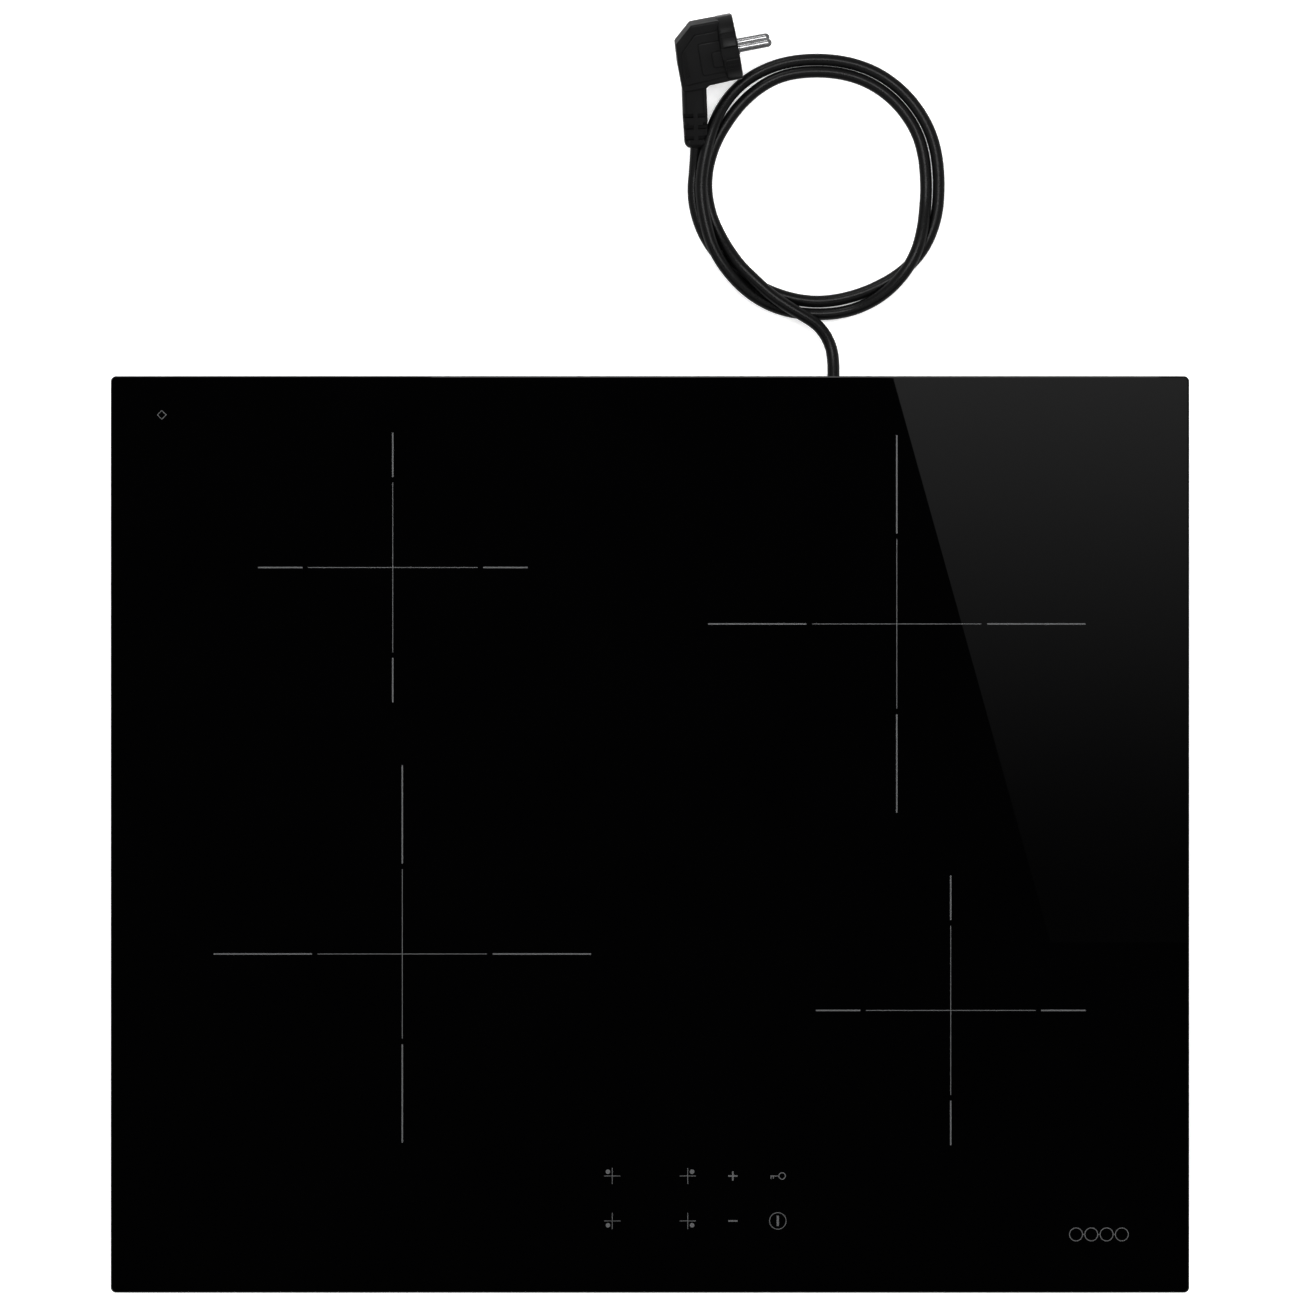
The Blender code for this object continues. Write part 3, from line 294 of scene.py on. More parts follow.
def circuit_board():
    """Green solder mask over copper tracks, with a grid of small pads."""
    look = Looks("circuit_board")
    edges = look.cells(1.0, look.stretched((260.0, 90.0, 1.0)), "DISTANCE_TO_EDGE")
    tracks = look.spread(edges, 0.0, 1.0, 0.06, 0.09)
    pads = look.spread(look.cells(330.0), 1.0, 0.0, 0.14, 0.17)
    mask = look.blend(tracks, (0.030, 0.150, 0.060), (0.008, 0.070, 0.028))
    return look.finish(
        Base_Color=look.blend(pads, mask, (0.62, 0.60, 0.56)),
        Roughness=look.spread(pads, 0.32, 0.45, 0.0, 1.0),
        Normal=look.relief(tracks, 0.03 * MM, 0.8),
    )


def mica_disc():
    look = Looks("insulation_mica")
    grey = look.crystals(420.0)
    tone = look.weighed(grey, 0.6, look.noise(30.0))
    return look.finish(
        Base_Color=look.blend(tone, (0.42, 0.37, 0.28), (0.70, 0.65, 0.55)),
        Roughness=look.spread(grey, 0.45, 0.8, 0.0, 1.0),
        Normal=look.relief(grey, 0.05 * MM, 0.6),
    )


def litz_wire():
    """Enamelled strands: fine bright copper lines, broken up as the bundle twists."""
    look = Looks("winding_copper")
    strands = look.noise(1.0, 2.0, look.stretched((1500.0, 1500.0, 3200.0)))
    shade = look.spread(strands, 0.0, 1.0)
    return look.finish(
        Base_Color=look.blend(shade, (0.28, 0.085, 0.03), (0.72, 0.32, 0.14)),
        Metallic=1.0,
        Roughness=look.spread(look.cells(700.0), 0.25, 0.42),
        Normal=look.relief(strands, 0.12 * MM, 0.8),
    )


def ribbon_cable():
    """Side by side wires, one of them marked with a red edge."""
    look = Looks("ribbon_grey")
    across = look.axis("X")
    wave = look.maths("SINE", look.maths("MULTIPLY", across, 4947.0))
    edge = look.maths("LESS_THAN", across, 0.0612)
    shade = look.spread(wave, 0.0, 1.0, -1.0, 1.0)
    grey = look.blend(shade, (0.26, 0.27, 0.28), (0.42, 0.43, 0.44))
    return look.finish(
        Base_Color=look.blend(edge, grey, (0.42, 0.03, 0.03)),
        Roughness=look.spread(look.noise(300.0), 0.4, 0.55),
        Normal=look.relief(wave, 0.2 * MM),
    )


def earth_wire():
    """Green insulation with yellow stripes."""
    look = Looks("wire_green_yellow")
    wave = look.maths("SINE", look.maths("MULTIPLY", look.axis("X"), 2600.0))
    stripe = look.maths("GREATER_THAN", wave, 0.1)
    return look.finish(
        Base_Color=look.blend(stripe, (0.03, 0.22, 0.04), (0.62, 0.50, 0.02)),
        Roughness=look.spread(look.noise(300.0), 0.3, 0.42),
    )


# ---------------------------------------------------------------- materials
GLASS, INK = black_glass(), printed_ink()
CORD, NICKEL = cord_sheath(), pin_nickel()
FOAM, ZINC, FRAME_STEEL = seal_foam(), zinc_sheet(), coated_steel()
BOARD, LITZ, EARTH = circuit_board(), litz_wire(), earth_wire()

# Plastics: name, dark tone, light tone, roughness, then the grain's scale and depth.
PLUG = moulded(
    "plug_moulding", (0.0024, 0.0024, 0.0025), (0.0042, 0.0042, 0.0043), (0.30, 0.40),
    Specular_IOR_Level=0.11,
)
GLAND = moulded("gland_rubber", (0.008, 0.008, 0.008), (0.013, 0.013, 0.013), (0.5, 0.65))
BOX_PLASTIC = moulded("terminal_plastic", (0.018, 0.018, 0.019), (0.028, 0.028, 0.029), (0.42, 0.56))
BLOCK_PLASTIC = moulded("terminal_block", (0.50, 0.49, 0.45), (0.62, 0.61, 0.57), (0.35, 0.5), 900.0)
FAN_PLASTIC = moulded("fan_plastic", (0.012, 0.012, 0.012), (0.020, 0.020, 0.020), (0.35, 0.5))
CARRIER = moulded("carrier_plastic", (0.045, 0.045, 0.046), (0.065, 0.065, 0.066), (0.45, 0.6))
FORMER = moulded("coil_former", (0.020, 0.020, 0.021), (0.032, 0.032, 0.033), (0.5, 0.65))
CERAMIC = moulded("sensor_ceramic", (0.62, 0.60, 0.55), (0.76, 0.74, 0.70), (0.45, 0.6), 1200.0)
DISPLAY = moulded("display_case", (0.60, 0.60, 0.58), (0.70, 0.70, 0.68), (0.4, 0.55), 900.0)
BROWN = moulded("wire_brown", (0.09, 0.035, 0.012), (0.13, 0.05, 0.02), (0.3, 0.42))
BLUE = moulded("wire_blue", (0.01, 0.05, 0.26), (0.02, 0.08, 0.36), (0.3, 0.42))
ADHESIVE = moulded(
    "glass_adhesive", (0.010, 0.010, 0.010), (0.018, 0.018, 0.018), (0.3, 0.45), 300.0, 0.05 * MM
)
FERRITE = moulded(
    "ferrite", (0.022, 0.020, 0.019), (0.040, 0.037, 0.035), (0.55, 0.75), 2600.0, 0.03 * MM
)
CAP_YELLOW = moulded(
    "capacitor_yellow", (0.42, 0.27, 0.03), (0.52, 0.35, 0.05), (0.3, 0.42), 900.0, 0.01 * MM
)
CAP_GREY = moulded(
    "capacitor_grey", (0.16, 0.17, 0.18), (0.21, 0.22, 0.23), (0.35, 0.5), 900.0, 0.01 * MM
)
RELAY_BLUE = moulded(
    "relay_case", (0.015, 0.035, 0.09), (0.022, 0.05, 0.12), (0.3, 0.42), 900.0, 0.01 * MM
)
CHIP = moulded(
    "chip_epoxy", (0.010, 0.010, 0.010), (0.018, 0.018, 0.018), (0.5, 0.65), 3000.0, 0.01 * MM
)

# Metals: name, dark tone, light tone, roughness, and the pattern's scale along X, Y and Z.
CLAMP_STEEL = brushed(
    "clamp_steel", (0.34, 0.32, 0.25), (0.62, 0.60, 0.50), (0.28, 0.42), (900.0, 60.0, 900.0)
)
SCREW_STEEL = brushed(
    "screw_steel", (0.42, 0.42, 0.43), (0.66, 0.66, 0.67), (0.22, 0.36), (1200.0, 1200.0, 400.0)
)
BRASS = brushed(
    "terminal_brass", (0.52, 0.36, 0.13), (0.80, 0.62, 0.28), (0.2, 0.35), (900.0, 900.0, 900.0)
)
ALUMINIUM = brushed(
    "aluminium_sheet", (0.58, 0.59, 0.60), (0.80, 0.81, 0.82), (0.26, 0.4), (40.0, 1600.0, 1600.0)
)
EXTRUDED = brushed(
    "extruded_aluminium", (0.45, 0.46, 0.48), (0.70, 0.71, 0.73), (0.24, 0.38), (2200.0, 30.0, 2200.0)
)
CAN = brushed(
    "capacitor_can", (0.50, 0.51, 0.52), (0.74, 0.75, 0.76), (0.2, 0.32), (900.0, 900.0, 80.0)
)
LABEL = brushed(
    "blank_plate", (0.55, 0.56, 0.57), (0.72, 0.73, 0.74), (0.3, 0.42), (900.0, 60.0, 1400.0)
)
MOTOR = brushed(
    "motor_steel", (0.40, 0.40, 0.41), (0.60, 0.60, 0.61), (0.22, 0.36), (900.0, 900.0, 60.0)
)

# Finish of each CAD node that keeps its own shape, by its material slot.
SLOT_LOOKS = {
    "glass_adhesive": ADHESIVE,
    "aluminium_sheet": ALUMINIUM,
    "heatsink_aluminium": EXTRUDED,
    "coil_former_plastic": FORMER,
    "insulation_mica": mica_disc(),
    "sensor_ceramic": CERAMIC,
    "circuit_board": BOARD,
    "carrier_plastic": CARRIER,
    "fan_plastic": FAN_PLASTIC,
    "motor_steel": MOTOR,
    "display_case": DISPLAY,
    "ribbon_grey": ribbon_cable(),
    "terminal_plastic": BOX_PLASTIC,
    "terminal_block_plastic": BLOCK_PLASTIC,
    "screw_steel": SCREW_STEEL,
}


# ---------------------------------------------------------------- mesh helpers
def placed(bm, matrix):
    """The mesh after a turn and a move."""
    bmesh.ops.transform(bm, matrix=matrix, verts=bm.verts)
    return bm


def moved(bm, x, y, z):
    return placed(bm, Matrix.Translation((x, y, z)))


def rotation(degrees, axis):
    return Matrix.Rotation(math.radians(degrees), 4, axis)


def build(name, bm, material, matrix=None, closed=True):
    """An object from a bmesh, with outward faces where the mesh is closed."""
    bmesh.ops.remove_doubles(bm, verts=bm.verts, dist=WELD)
    if closed:
        bmesh.ops.recalc_face_normals(bm, faces=bm.faces)
    if matrix:
        placed(bm, matrix)
    mesh = bpy.data.meshes.new(name)
    bm.to_mesh(mesh)
    bm.free()
    mesh.materials.append(material)
    item = bpy.data.objects.new(name, mesh)
    bpy.context.scene.collection.objects.link(item)
    smooth(item)
    return item


def smooth(item):
    """Smooth shading up to an angle, with flat faces kept flat beside their rounded edges."""
    item.data.shade_smooth()
    item.data.set_sharp_from_angle(angle=SMOOTH_ANGLE)
    weighted = item.modifiers.new("Weighted", "WEIGHTED_NORMAL")
    weighted.keep_sharp = True
    weighted.weight = 100


def piece(item, body="hob", replaces=()):
    """Says what an object rides on and which CAD nodes it stands for."""
    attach(item, body)
    if replaces:
        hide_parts(*replaces)
    return item


def add_piece(name, bm, material, replaces=(), matrix=None):
    """A mesh as a piece of the hob's own body."""
    return piece(build(name, bm, material, matrix), replaces=replaces)


def carved(item, *tools):
    """The object after boolean steps, each an (operation, bmesh) pair."""
    item.modifiers.clear()
    helpers = []
    for operation, tool in tools:
        helper = build("helper", tool, item.data.materials[0])
        helpers.append(helper)
        modifier = item.modifiers.new(operation, "BOOLEAN")
        modifier.operation = operation
        modifier.object = helper
        modifier.solver = "EXACT"
    graph = bpy.context.evaluated_depsgraph_get()
    mesh = bpy.data.meshes.new_from_object(item.evaluated_get(graph))
    item.modifiers.clear()
    item.data = mesh
    for helper in helpers:
        bpy.data.objects.remove(helper)
    smooth(item)
    return item


def merged(*parts):
    """Several meshes as one."""
    whole = bmesh.new()
    for part in parts:
        mesh = bpy.data.meshes.new("loose")
        part.to_mesh(mesh)
        part.free()
        whole.from_mesh(mesh)
        bpy.data.meshes.remove(mesh)
    return whole


def mm(points):
    """Points that are given in millimetres."""
    return [(x * MM, y * MM) for x, y in points]


def at_height(outline, z):
    """A flat outline as points at one height."""
    return [(x, y, z) for x, y in outline]


def quarter(steps):
    """Angles from 0 to 90 degrees, in radians."""
    return [math.pi / 2 * i / steps for i in range(steps + 1)]


def vertex_loops(bm, rings):
    """A loop of new vertices for each ring of points."""
    return [[bm.verts.new(point) for point in ring] for ring in rings]


def strip(bm, lower, upper, gaps=()):
    """Faces between two loops of equally many vertices, apart from the gaps."""
    for i in range(len(lower)):
        if i not in gaps:
            j = (i + 1) % len(lower)
            bm.faces.new((lower[i], lower[j], upper[j], upper[i]))


def loft(rings, closed=False):
    """Walls between rings of equally many points; the ends are capped unless closed."""
    bm = bmesh.new()
    loops = vertex_loops(bm, rings)
    if closed:
        loops.append(loops[0])
    else:
        bm.faces.new(loops[0][::-1])
        bm.faces.new(loops[-1])
    for lower, upper in zip(loops, loops[1:]):
        strip(bm, lower, upper)
    return bm


def prism(outline, low, high):
    """An upright solid with the same outline all the way."""
    return loft([at_height(outline, low), at_height(outline, high)])


def arc(centre, radius, start, end, steps):
    """Points on an arc, angles in degrees."""
    turns = [math.radians(start + (end - start) * i / steps) for i in range(steps + 1)]
    return [(centre[0] + radius * math.cos(t), centre[1] + radius * math.sin(t)) for t in turns]


def circle(radius, sides, centre=(0, 0)):
    return arc(centre, radius, 0, 360, sides)[:-1]


def rounded_rectangle(width, depth, radius, centre=(0, 0), steps=4):
    """An outline with round corners, counter-clockwise."""
    points = []
    x, y = width / 2 - radius, depth / 2 - radius
    for quadrant, (sx, sy) in enumerate(((1, 1), (-1, 1), (-1, -1), (1, -1))):
        corner = (centre[0] + sx * x, centre[1] + sy * y)
        points += arc(corner, radius, 90 * quadrant, 90 * quadrant + 90, steps)
    return points


def stadium(centre, width, depth, steps=5):
    """A slot's outline, with round ends."""
    radius, reach = min(width, depth) / 2, abs(width - depth) / 2
    start, along = (-90, (reach, 0)) if width > depth else (0, (0, reach))
    first = (centre[0] + along[0], centre[1] + along[1])
    second = (centre[0] - along[0], centre[1] - along[1])
    outline = arc(first, radius, start, start + 180, 2 * steps)
    return outline + arc(second, radius, start + 180, start + 360, 2 * steps)


def corners(points):
    """Each point of a closed outline, between the one before it and the one after it."""
    points = [Vector(point) for point in points]
    return zip(points[-1:] + points[:-1], points, points[1:] + points[:1])


def filleted(points, radius, steps=4):
    """A polygon, counter-clockwise, with each corner rounded."""
    result = []
    for before, here, after in corners(points):
        back, on = (before - here).normalized(), (after - here).normalized()
        reach = radius / math.tan(back.angle(on) / 2)
        reach = min(reach, 0.45 * (before - here).length, 0.45 * (after - here).length)
        first, last = here + back * reach, here + on * reach
        for step in range(steps + 1):
            t = step / steps
            result.append(tuple((1 - t) ** 2 * first + 2 * t * (1 - t) * here + t * t * last))
    return result


def inset(points, distance):
    """The outline moved inwards; points run counter-clockwise."""
    result = []
    for before, here, after in corners(points):
        back, on = (here - before).normalized(), (after - here).normalized()
        normal = Vector((-(back.y + on.y), back.x + on.x)).normalized()
        lean = max(0.3, normal.dot(Vector((-back.y, back.x))))
        result.append(tuple(here + normal * (distance / lean)))
    return result


def slab(outline, low, high, edge=0.0, steps=3):
    """A plate of any outline whose long edges are rounded."""
    if not edge:
        return prism(outline, low, high)
    foot = [(edge * (1 - math.sin(t)), low + edge * (1 - math.cos(t))) for t in quarter(steps)]
    head = [(edge * (1 - math.cos(t)), high - edge * (1 - math.sin(t))) for t in quarter(steps)]
    return loft([at_height(inset(outline, step), z) for step, z in foot + head])


def turned(profile, sides, axis="Z"):
    """A (radius, height) profile turned about Z, or laid along +X or +Y."""
    bm = bmesh.new()
    verts = [bm.verts.new((radius, 0, height)) for radius, height in profile]
    edges = [bm.edges.new(pair) for pair in zip(verts, verts[1:])]
    if profile[0][0] > 0 and profile[-1][0] > 0:
        edges.append(bm.edges.new((verts[-1], verts[0])))
    spin = {"cent": (0, 0, 0), "axis": (0, 0, 1), "angle": 2 * math.pi, "steps": sides}
    bmesh.ops.spin(bm, geom=verts + edges, use_merge=True, **spin)
    bmesh.ops.remove_doubles(bm, verts=bm.verts, dist=WELD)
    lay = {"X": rotation(90, "Y"), "Y": rotation(-90, "X"), "Z": Matrix.Identity(4)}
    return placed(bm, lay[axis])


def rod(radius, low, high, sides=28, axis="Z"):
    """A plain cylinder along an axis."""
    return turned([(0, low), (radius, low), (radius, high), (0, high)], sides, axis)


def block(low, high):
    """A plain box between two opposite corners."""
    bm = bmesh.new()
    low, high = Vector(low), Vector(high)
    place = Matrix.Translation((low + high) / 2) @ Matrix.Diagonal((*(high - low), 1.0))
    bmesh.ops.create_cube(bm, size=1.0, matrix=place)
    return bm


def smooth_route(points, spacing):
    """Points along a smooth curve through the given ones, near the asked spacing."""
    points = [Vector(p) for p in points]
    ends = [2 * points[0] - points[1], *points, 2 * points[-1] - points[-2]]
    route = []
    for before, here, there, after in zip(ends, ends[1:], ends[2:], ends[3:]):
        steps = max(1, round((there - here).length / spacing))
        for step in range(steps):
            t = step / steps
            bend = (2 * before - 5 * here + 4 * there - after) * t**2
            twist = (3 * here - before - 3 * there + after) * t**3
            route.append(0.5 * (2 * here + (there - before) * t + bend + twist))
    route.append(points[-1])
    return route


def tube(name, points, radius, material, resolution=5):
    """A round wire along the points, with closed ends."""
    curve = bpy.data.curves.new(name, "CURVE")
    curve.dimensions = "3D"
    curve.bevel_depth = radius
    curve.bevel_resolution = resolution
    curve.use_fill_caps = True
    spline = curve.splines.new("POLY")
    spline.points.add(len(points) - 1)
    for spot, point in zip(spline.points, points):
        spot.co = (*point, 1.0)
    curve.materials.append(material)
    item = bpy.data.objects.new(name, curve)
    bpy.context.scene.collection.objects.link(item)
    return item


# ---------------------------------------------------------------- camera
def add_camera():
    data = bpy.data.cameras.new("camera")
    data.sensor_width = SENSOR
    data.lens = SENSOR * CAMERA_HEIGHT / VIEW_WIDTH
    camera = bpy.data.objects.new("camera", data)
    camera.location = (0, CAMERA_Y, GLASS_TOP + CAMERA_HEIGHT)
    bpy.context.scene.collection.objects.link(camera)
    bpy.context.scene.camera = camera


add_camera()


# ---------------------------------------------------------------- mains lead
# Straight out of the gland, down to the surface and onto the turns.
TAIL = [
    (0.1030, 0.2436, 0.0140), (0.1030, 0.2506, 0.0136), (0.1031, 0.2576, 0.0121),
    (0.1030, 0.2646, 0.0104), (0.1020, 0.2718, 0.0093), (0.0992, 0.2787, 0.0092),
    (0.0948, 0.2845, 0.0097), (0.0896, 0.2885, 0.0102), (0.0844, 0.2916, 0.0105),
    (0.0770, 0.2961, 0.0106), (0.0690, 0.3016, 0.0107), (0.0614, 0.3082, 0.0107),
]

# The turns, from the plug to the tail: angle in degrees, radius and height in millimetres. The lead
# lies on the surface at a height of 3.4 mm, and rises where it passes over itself.
TURNS = [
    (161.2, 71.1, 6.2), (168, 69.2, 4.0), (185, 68.9, 3.4), (200, 68.3, 3.4), (214, 67.0, 3.4),
    (228, 64.9, 3.4), (245, 63.9, 3.4), (270, 64.3, 3.4), (290, 64.8, 3.4), (303, 66.0, 3.4),
    (316, 68.0, 3.4), (330, 69.6, 3.4), (345, 69.7, 3.4), (360, 69.3, 3.4), (390, 71.8, 3.4),
    (420, 73.0, 3.4), (450, 72.0, 3.4), (470, 72.2, 3.4), (485, 71.6, 3.6), (498, 69.6, 5.6),
    (510, 67.0, 8.6), (522, 65.0, 10.0), (540, 64.6, 10.0), (556, 65.0, 10.1), (572, 67.2, 10.3),
    (586, 68.8, 9.4), (600, 70.4, 6.4), (612, 71.2, 3.8), (630, 71.4, 3.4), (648, 71.9, 4.4),
    (660, 71.4, 7.6), (672, 69.9, 10.2), (686, 67.4, 10.4), (698, 64.6, 8.2), (710, 62.6, 4.8),
    (722, 62.2, 3.4), (750, 64.8, 3.4), (780, 66.1, 3.4), (810, 65.2, 3.4), (830, 65.2, 3.4),
    (848, 63.4, 3.4), (862, 62.0, 3.4), (880, 61.7, 3.4), (900, 61.6, 3.4), (914, 60.9, 3.5),
    (927, 60.3, 5.0), (940, 60.8, 8.2), (951, 62.0, 10.4),
]


def slopes(keys, column):
    """Slopes at uneven keys, from the secants on both sides."""
    result = []
    for i, key in enumerate(keys):
        before, after = keys[max(i - 1, 0)], keys[min(i + 1, len(keys) - 1)]
        left, right = key[0] - before[0], after[0] - key[0]
        if left and right:
            rise_left = (key[column] - before[column]) / left
            rise_right = (after[column] - key[column]) / right
            result.append((rise_left * right + rise_right * left) / (left + right))
        else:
            result.append((after[column] - before[column]) / (left + right))
    return result


def cubic(first, last, rise_first, rise_last, s):
    """A smooth value between two keys, s running from 0 to 1; rises are over the whole span."""
    value = (2 * s**3 - 3 * s**2 + 1) * first + (3 * s**2 - 2 * s**3) * last
    return value + (s**3 - 2 * s**2 + s) * rise_first + (s**3 - s**2) * rise_last


def coil_points():
    """Points along the turns, worked out from the keys with smooth cubic pieces."""
    step = 6  # degrees
    rises = {column: slopes(TURNS, column) for column in (1, 2)}
    points = []
    angle = TURNS[0][0]
    for i, (first, last) in enumerate(zip(TURNS, TURNS[1:])):
        span = last[0] - first[0]
        while angle <= last[0]:
            s = (angle - first[0]) / span
            values = []
            for column, rise in rises.items():
                value = cubic(first[column], last[column], span * rise[i], span * rise[i + 1], s)
                values.append(value * MM)
            radius, height = values
            turn = math.radians(angle)
            x = COIL_CENTRE[0] + radius * math.cos(turn)
            y = COIL_CENTRE[1] + radius * math.sin(turn)
            points.append((x, y, max(height, CORD_RADIUS)))
            angle += step
    return points


def plug_matrix():
    """Plug frame: u along the pins, v up the face away from the cable, w across the thickness."""
    turn = Matrix.Rotation(PLUG_YAW, 4, "Z") @ Matrix.Rotation(PLUG_ROLL, 4, "X")
    return Matrix.Translation((*PLUG_FACE, PLUG_RADIUS + 0.3 * MM)) @ turn


def neck_matrix():
    """Frame of the plug's neck, which runs along its -Y."""
    lean = Matrix.Rotation(-NECK_LEAN, 4, "Z")
    return plug_matrix() @ Matrix.Translation((*NECK_ROOT, 0)) @ lean


def make_lead():
    """The whole lead, from inside the gland to inside the plug's neck."""
    inside_plug = neck_matrix() @ Vector((0, 8 * MM - NECK_LENGTH, 0))
    route = [*TAIL, *reversed(coil_points()), inside_plug]
    return tube("mains_lead", smooth_route(route, 3 * MM), CORD_RADIUS, CORD, 6)


# ---------------------------------------------------------------- plug
def plug_disc():
    """The round part that carries the pins, with both rims rounded."""
    r, back = PLUG_RADIUS, -PLUG_DISC
    profile = [(0, back), (r - 2.9 * MM, back), (r - 0.9 * MM, back + 0.7 * MM), (r, back + 2 * MM)]
    profile += [(r, -1.2 * MM), (r - 0.35 * MM, -0.35 * MM), (r - 1.2 * MM, 0), (0, 0)]
    return turned(profile, 96, "X")


def plug_layers():
    """The shell behind the disc and three panels on it, each smaller and thicker than the last."""
    shell = [(-8, 17.4), (-23.9, 17.4), (-34.1, 8.5), (-34.9, -3), (-34.9, -19.3)]
    shell += [(-21.6, -19.3), (-19.6, -18), (-8, -17.6)]
    panel = [(-8, 12.0), (-22.9, 12.0), (-32.0, 3.1), (-32.8, -9.2), (-32.8, -15.5), (-8, -14.6)]
    step_one = [(-8, 6.8), (-22.3, 6.8), (-22.3, -11.6), (-8, -11.6)]
    step_two = [(-8, 1.2), (-15.6, 1.2), (-15.6, -8.2), (-8, -8.2)]
    layers = [slab(filleted(mm(shell), 1.5 * MM), -9.5 * MM, 9.5 * MM, 1.2 * MM)]
    for outline, half in ((panel, 11.0), (step_one, 12.4), (step_two, 13.8)):
        layers.append(slab(filleted(mm(outline), 1.6 * MM), -half * MM, half * MM, 0.8 * MM))
    return layers


def plug_neck():
    """The neck and its tapering strain relief, both along the neck."""
    neck = prism(rounded_rectangle(NECK_WIDTH, NECK_WIDTH, 2.6 * MM, steps=5), -3 * MM, 17 * MM)
    rings = []
    for reach, size, corner in ((15.0, 13.5, 2.6), (29.3, 12.9, 2.8), (30.6, 11.6, 3.0), (31.8, 9.4, 3.2)):
        outline = rounded_rectangle(size * MM, size * MM, corner * MM, steps=5)
        rings.append(at_height(outline, reach * MM))
    upright = rotation(90, "X")
    return placed(neck, upright), placed(loft(rings), upright)


def relief_slits():
    """Slits of the strain relief: three rows on both faces, with a web between."""
    slits = []
    for reach in (13.2, 19.8, 25.9):
        for side in (-1, 1):
            for face in (-1, 1):
                near, far = sorted((side * 1.2 * MM, side * 8.0 * MM))
                low, high = sorted((face * 4.3 * MM, face * 8.0 * MM))
                start, end = -(reach + 1.2) * MM, -(reach - 1.2) * MM
                slits.append(block((near, start, low), (far, end, high)))
    return merged(*slits)


def rim_grooves():
    """Guide grooves across the rim, and a finger groove in each side's panel."""
    finger = filleted(mm([(-29.2, 4), (-31.0, 3.4), (-31.4, -11), (-29.6, -11)]), 0.5 * MM)
    grooves = []
    for face in (-1, 1):
        low, high = sorted((face * 16.2 * MM, face * 19.5 * MM))
        grooves.append(block((-11 * MM, -4.1 * MM, low), (1 * MM, 2.8 * MM, high)))
        low, high = sorted((face * 10.2 * MM, face * 14.0 * MM))
        grooves.append(prism(finger, low, high))
    return merged(*grooves)


def grip_ridges():
    """Pairs of short ridges along the disc's rim."""
    outline = filleted(mm([(-9, -0.4), (-1.6, -0.4), (-1.6, 0.4), (-9, 0.4)]), 0.3 * MM)
    ridges = []
    for turn in (-36, -28, 24, 32, 144, 152, 204, 212):
        ridge = slab(outline, PLUG_RADIUS - 0.6 * MM, PLUG_RADIUS + 0.25 * MM, 0.15 * MM)
        ridges.append(placed(ridge, rotation(turn, "X")))
    return merged(*ridges)


def make_plug():
    """The moulded body: disc, shell, panels and neck joined, then the slits, grooves and hole cut."""
    to_neck = plug_matrix().inverted() @ neck_matrix()
    earth_hole = moved(rod(2.4 * MM, -9 * MM, 1 * MM, 32, "X"), 0, -10 * MM, 0)
    tools = [("UNION", layer) for layer in plug_layers()]
    tools += [("UNION", placed(part, to_neck)) for part in plug_neck()]
    tools.append(("DIFFERENCE", placed(relief_slits(), to_neck)))
    tools.append(("DIFFERENCE", rim_grooves()))
    tools.append(("DIFFERENCE", earth_hole))
    tools.append(("UNION", grip_ridges()))
    body = carved(build("plug_moulding", plug_disc(), PLUG), *tools)
    body.data.transform(plug_matrix())
    return piece(body, replaces=["plug_body"])


def make_earth_clips():
    """Spring earth contacts, which wrap the rim at both sides of the pins' line."""
    outer = [(-9.2, 18.62), (-1.0, 18.62), (0.12, 17.6), (0.12, 12.8)]
    inner = [(-9.2, 18.2), (-1.3, 18.2), (-0.35, 17.3), (-0.35, 12.8)]
    clips = []
    for side in (-1, 1):
        outline = mm([(x, side * y) for x, y in outer + inner[::-1]])
        clips.append(prism(outline, -2.2 * MM, 2.2 * MM))
    return add_piece("plug_earth_clips", merged(*clips), NICKEL, matrix=plug_matrix())


def make_pins():
    """Two round pins with domed tips, each with a small collar at the face."""
    collar, tip = PIN_RADIUS + 0.9 * MM, PIN_LENGTH - PIN_RADIUS
    profile = [(0, 0.1 * MM), (collar, 0.1 * MM), (collar, 0.5 * MM), (PIN_RADIUS, 0.8 * MM)]
    profile += [(PIN_RADIUS * math.cos(t), tip + PIN_RADIUS * math.sin(t)) for t in quarter(8)[:-1]]
    profile.append((0, PIN_LENGTH))
    pins = []
    for name, side in (("plug_pin_upper", 1), ("plug_pin_lower", -1)):
        place = plug_matrix() @ Matrix.Translation((0, 0, side * PIN_SPACING / 2))
        pin = turned(profile, 40, "X")
        pins.append(add_piece(f"{name}_round", pin, NICKEL, [name], place))
    return pins


